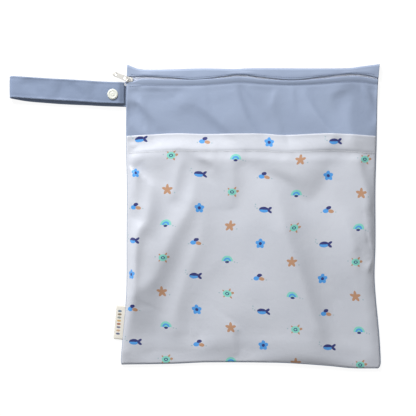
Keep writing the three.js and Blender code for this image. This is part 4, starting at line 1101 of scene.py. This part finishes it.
def strapMesh():
    route = strapRoute()
    along = np.gradient(route, axis=0)
    along[:, 1] = 0
    along /= np.linalg.norm(along, axis=1, keepdims=True)
    normal = np.stack([-along[:, 2], np.zeros(len(route)), along[:, 0]], axis=1)
    v, thick = strapSection()
    steps = np.concatenate([[0], np.cumsum(np.linalg.norm(np.diff(route, axis=0), axis=1))])
    edges = 0.15 * softNoise(steps, np.zeros(len(steps)), 13, 51)
    centre = route[:, None] + np.array([0, 1, 0]) * (v[None, :, None] * strap["width"])
    centre[:, :, 1] += edges[:, None]
    across = v[None] * strap["width"]
    onTop = smooth((steps - steps[-1] + strap["reach"]) / 30)[:, None]
    # the snap holds the cloth flat
    free = smooth((np.abs(steps - steps[-1] + strap["snapPlace"]) - 8) / 12)[:, None]
    fromSeam = np.broadcast_to(steps[-1] + strap["endGap"] - steps[:, None], centre.shape[:2])
    stiff = 1 - 0.6 * np.abs(2 * v[None]) ** 3  # the turned-in edges are stiffer than the middle
    bend = softNoise(steps[:, None], across, 17, 52, 0.5) * 0.7
    bend = bend + foldField(strapFolds, fromSeam, np.broadcast_to(across, fromSeam.shape))
    bend = bend * onTop * free * stiff
    fine = softNoise(steps[:, None], across, 6, 53, 0.2) * 0.1
    centre[:, :, 2] += onTop * free * strap["tilt"] * v[None]
    seam = 0.3 * bell(fromSeam - strap["crossSeam"] * strap["reach"], 0.9) * (np.abs(v) < 0.45)
    inside = centre + (thick[None] / 2 - bend)[:, :, None] * normal[:, None]
    outside = centre - (thick[None] / 2 + bend + fine - seam)[:, :, None] * normal[:, None]
    flat = np.stack(np.broadcast_arrays(steps[:, None], across), axis=2)
    piece = sheetMesh("strap_cloth", inside, outside, strapClothPaintedShade, "blue_cloth", rim=0.35, flat=flat)
    return piece, outside, normal, v, route


strapPiece, strapOutside, strapNormal, strapV, strapLineOfMiddle = strapMesh()
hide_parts("strap")

snapX = seamX - strap["snapPlace"]
snapSide = (follow(strapLine, "backSide", snapShare) + follow(strapLine, "frontSide", snapShare)) / 2
snapY = strapY + strap["width"] * float(snapSide)


def turned(name, profile, z, up, node):
    # a part turned about the snap's axis, its profile rounded by a bevel
    profile = np.array(profile, float)
    steps = 48
    verts, faces = [], []
    for k in range(steps):
        angle = k * 2 * math.pi / steps
        for radius, height in profile:
            x, y = snapX + radius * math.cos(angle), snapY + radius * math.sin(angle)
            verts.append((x, y, z + up * height))
    count = len(profile)
    for k in range(steps):
        n = (k + 1) % steps
        for i in range(count - 1):
            quad = (k * count + i, n * count + i, n * count + i + 1, k * count + i + 1)
            faces.append(quad if up < 0 else quad[::-1])
    piece = newObject(name, verts, faces, snapResin, slot="snap_resin")
    tidy = piece.modifiers.new("Weld", "WELD")
    tidy.merge_threshold = 0.002 * mm
    soft = piece.modifiers.new("Bevel", "BEVEL")
    soft.width, soft.segments, soft.angle_limit = 0.14 * mm, 2, math.radians(28)
    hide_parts(node)


def capProfile():
    radius, post, thick = snap["cap"] / 2, snap["post"] / 2, snap["capThickness"]
    reach = 2 * bag["gap"] + strap["thickness"] + snap["studBase"] / 2
    return [
        (0, -reach), (post, -reach), (post, 0), (radius * 0.93, 0), (radius, thick * 0.35),
        (radius * 0.97, thick * 0.62), (radius * 0.88, thick * 0.86), (radius * 0.74, thick),
        (radius * 0.66, thick), (radius * 0.61, thick * 0.8), (radius * 0.36, thick * 0.8),
        (radius * 0.28, thick * 0.98), (radius * 0.14, thick * 0.9), (0, thick * 0.72),
    ]


besideStrap = strap["thickness"] / 2 + bag["gap"]
turned("snap_front_cap_resin", capProfile(), snapFrontHeight + besideStrap, 1, "snap_front_cap")
turned("snap_back_cap_resin", capProfile(), snap["capThickness"], -1, "snap_back_cap")
outerR, hole = snap["part"] / 2, snap["post"] / 2 + bag["gap"]
well = snap["ball"] / 2 + bag["gap"]
socketProfile = [
    (hole, snap["ballHeight"]), (well, snap["ballHeight"]), (well, 0), (outerR * 0.8, 0),
    (outerR, snap["socket"] * 0.5), (outerR, snap["socket"]), (hole, snap["socket"]),
    (hole, snap["ballHeight"]),
]
turned("snap_socket_resin", socketProfile, snapFrontHeight - besideStrap - snap["socket"], 1, "snap_socket")
ballTop = snap["studBase"] + snap["ballHeight"]
studProfile = [
    (hole, 0), (outerR, 0), (outerR, snap["studBase"] * 0.6), (outerR * 0.85, snap["studBase"]),
    (snap["ball"] / 2 * 0.85, snap["studBase"]), (snap["ball"] / 2, (snap["studBase"] + ballTop) / 2),
    (snap["ball"] / 2 * 0.8, ballTop), (hole, ballTop), (hole, 0),
]
turned("snap_stud_resin", studProfile, snapBackHeight + besideStrap, 1, "snap_stud")
print("stage: strap and snap made")


def labelMesh():
    low, high = placeAcross(0.0, labelY - label["height"] / 2), placeAcross(0.0, labelY + label["height"] / 2)
    lean = math.atan2(high - low, label["height"])
    seamLevel = seamUnderside + label["thickness"] / 2
    outs = np.concatenate([np.linspace(-label["inset"], 0, 5)[:-1], np.linspace(0, label["reach"], 14)])
    edge = np.linspace(-0.5, 0.5, 26)
    level = np.interp(outs, [-label["inset"], 0, label["reach"] * 0.5, label["reach"]],
                      [seamLevel, seamLevel, (seamLevel + 1) / 2, label["thickness"] * 0.75])
    thick = label["thickness"] * np.where(outs > label["reach"] * 0.9, 0.75, 1.0)
    along = edge[None, :] * label["height"]
    wave = 0.25 * np.sin(edge * 9)[None, :] * smooth(outs / label["reach"])[:, None]
    x = placeAcross(0.0, labelY) - outs[:, None] * math.cos(lean) + along * math.sin(lean)
    y = labelY + outs[:, None] * math.sin(lean) + along * math.cos(lean)
    z = level[:, None] + wave * 0.6
    upper = np.stack([x, y, z + thick[:, None] / 2 * 0.8], axis=2)
    lower = np.stack([x, y, z - thick[:, None] / 2 * 0.6], axis=2)
    lower[:, :, 2] = np.maximum(lower[:, :, 2], 0.05)
    flat = np.stack(np.broadcast_arrays(outs[:, None], along), axis=2)
    return sheetMesh("label_ribbon", upper, lower, labelRibbon, "label_ribbon", rim=0.5, flat=flat)


labelPiece = labelMesh()
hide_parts("label")
print("stage: label made")


stitches = {
    "pitch": 3.0, "length": 2.3, "thread": 0.42,
    "firstInRow": 1.2, "firstOnStrap": 1.0, "firstAcross": 0.6,  # from a row's start to its first stitch
}
# one lockstitch along its length: it rises out of the cloth, lies on it and sinks back
stitchForm = {
    "at": np.array([0, 0.12, 0.5, 0.88, 1]),
    "lift": np.array([-0.35, 0.2, 0.32, 0.2, -0.35]),
    "swell": np.array([0.6, 1, 1, 1, 0.6]),
}


def lockstitches(line, normal, first, up=(0, 0, 1)):
    # a row of stitches along a line of surface points
    steps = np.concatenate([[0], np.cumsum(np.linalg.norm(np.diff(line, axis=0), axis=1))])
    normal = np.broadcast_to(normal, line.shape)
    parts = []
    for start in np.arange(first, steps[-1] - stitches["length"], stitches["pitch"]):
        at = start + stitches["length"] * stitchForm["at"]
        path = np.stack([np.interp(at, steps, line[:, k]) for k in range(3)], axis=1)
        out = np.stack([np.interp(at, steps, normal[:, k]) for k in range(3)], axis=1)
        path += out * (stitches["thread"] * stitchForm["lift"])[:, None]
        parts.append(tube(path, stitches["thread"] / 2 * stitchForm["swell"], sides=6, up=up))
    return joined(parts)


def surfaceLine(line, height):
    shares = np.linspace(0.006, 0.994, 400)
    y = line(shares)
    return np.stack([placeAcross(shares, y), y, height(shares, y)], axis=1)


def strapEdgeStitches():
    parts = []
    for side in (-1, 1):
        at = side * (0.5 - strap["stitchInset"] / strap["width"])
        line = np.array([[np.interp(at, strapV, ring[:, j]) for j in range(3)] for ring in strapOutside])
        parts.append(lockstitches(line[3:], -strapNormal[3:], stitches["firstOnStrap"], up=(0, 1, 0)))
    return joined(parts)


def strapCrossStitches():
    # across the strap's upper layer, inside its edges
    upperLayer = np.arange(len(strapLineOfMiddle) - upperRows, len(strapLineOfMiddle))
    away = np.abs(strapLineOfMiddle[upperLayer, 0] - (seamX - strap["crossSeam"] * strap["reach"]))
    i = upperLayer[away.argmin()]
    return lockstitches(strapOutside[i][np.abs(strapV) < 0.43], -strapNormal[i], stitches["firstAcross"])


for name, line, thread, slot in (
    ("pocket_hem_stitches", surfaceLine(pocketStitchLine, pocketTop), whiteThread, "printed_cloth"),
    ("front_hem_stitches", surfaceLine(zipStitchLine, frontTop), blueThread, "blue_cloth"),
    ("flap_stitches", outer[-4][4:-4], blueThread, "blue_cloth"),
):
    newObject(name, *lockstitches(line, (0, 0, 1), stitches["firstInRow"]), thread, slot)
# the cross stitches' thread is darker than the strap, which paints the shade of the needle holes
strapThreadPaintedShade = threadMaterial("Polyester thread, dark blue", "#5B6785")
newObject("strap_stitches", *strapEdgeStitches(), blueThread, "blue_cloth")
newObject("strap_cross_stitches", *strapCrossStitches(), strapThreadPaintedShade, "blue_cloth")
print("stage: stitches made")


studio = {
    # a lit table, as product photographs use, leaves no shadow
    "floor": "#6E6E6E", "floorSize": 6.0, "floorGlow": 0.9,
    "cameraHeight": 2.6, "frameWidth": 0.4992, "frameCentre": (-0.0522, 0.0102), "sharpAt": 0.009,
    "fill": 0.26,
    "lamps": {"keySoftbox": ((-0.66, 1.16, 0.84), 0.5, 34.0), "topSoftbox": ((0.1, 0.1, 1.9), 1.5, 4.0)},
}


def makeStudio():
    material, tree, shader = newMaterial("Studio table, lit matt acrylic", studio["floor"], 0.9, specular=0.0)
    shader.inputs["Emission Color"].default_value = (1, 1, 1, 1)
    shader.inputs["Emission Strength"].default_value = studio["floorGlow"]
    bpy.ops.mesh.primitive_plane_add(size=studio["floorSize"], location=(0, 0, -0.0004))
    floor = bpy.context.object
    floor.name = "floor"
    floor.data.materials.append(material)
    world = bpy.data.worlds.new("studio")
    bpy.context.scene.world = world
    world.use_nodes = True
    world.node_tree.nodes["Background"].inputs["Color"].default_value = (1, 1, 1, 1)
    world.node_tree.nodes["Background"].inputs["Strength"].default_value = studio["fill"]
    for name, (place, size, power) in studio["lamps"].items():
        light = bpy.data.lights.new(name, "AREA")
        light.shape, light.size, light.energy = "SQUARE", size, power
        lamp = bpy.data.objects.new(name, light)
        bpy.context.scene.collection.objects.link(lamp)
        lamp.location = place
        lamp.rotation_euler = (Vector((0, 0, 0)) - Vector(place)).to_track_quat("-Z", "Y").to_euler()
    camera = bpy.data.cameras.new("camera")
    eye = bpy.data.objects.new("camera", camera)
    bpy.context.scene.collection.objects.link(eye)
    eye.location = (*studio["frameCentre"], studio["cameraHeight"])
    camera.lens = camera.sensor_width * (studio["cameraHeight"] - studio["sharpAt"]) / studio["frameWidth"]
    camera.clip_start, camera.clip_end = 0.05, 20
    scene = bpy.context.scene
    scene.camera = eye
    scene.view_settings.view_transform = "Standard"
    scene.view_settings.look = "None"


makeStudio()
print("stage: studio made")
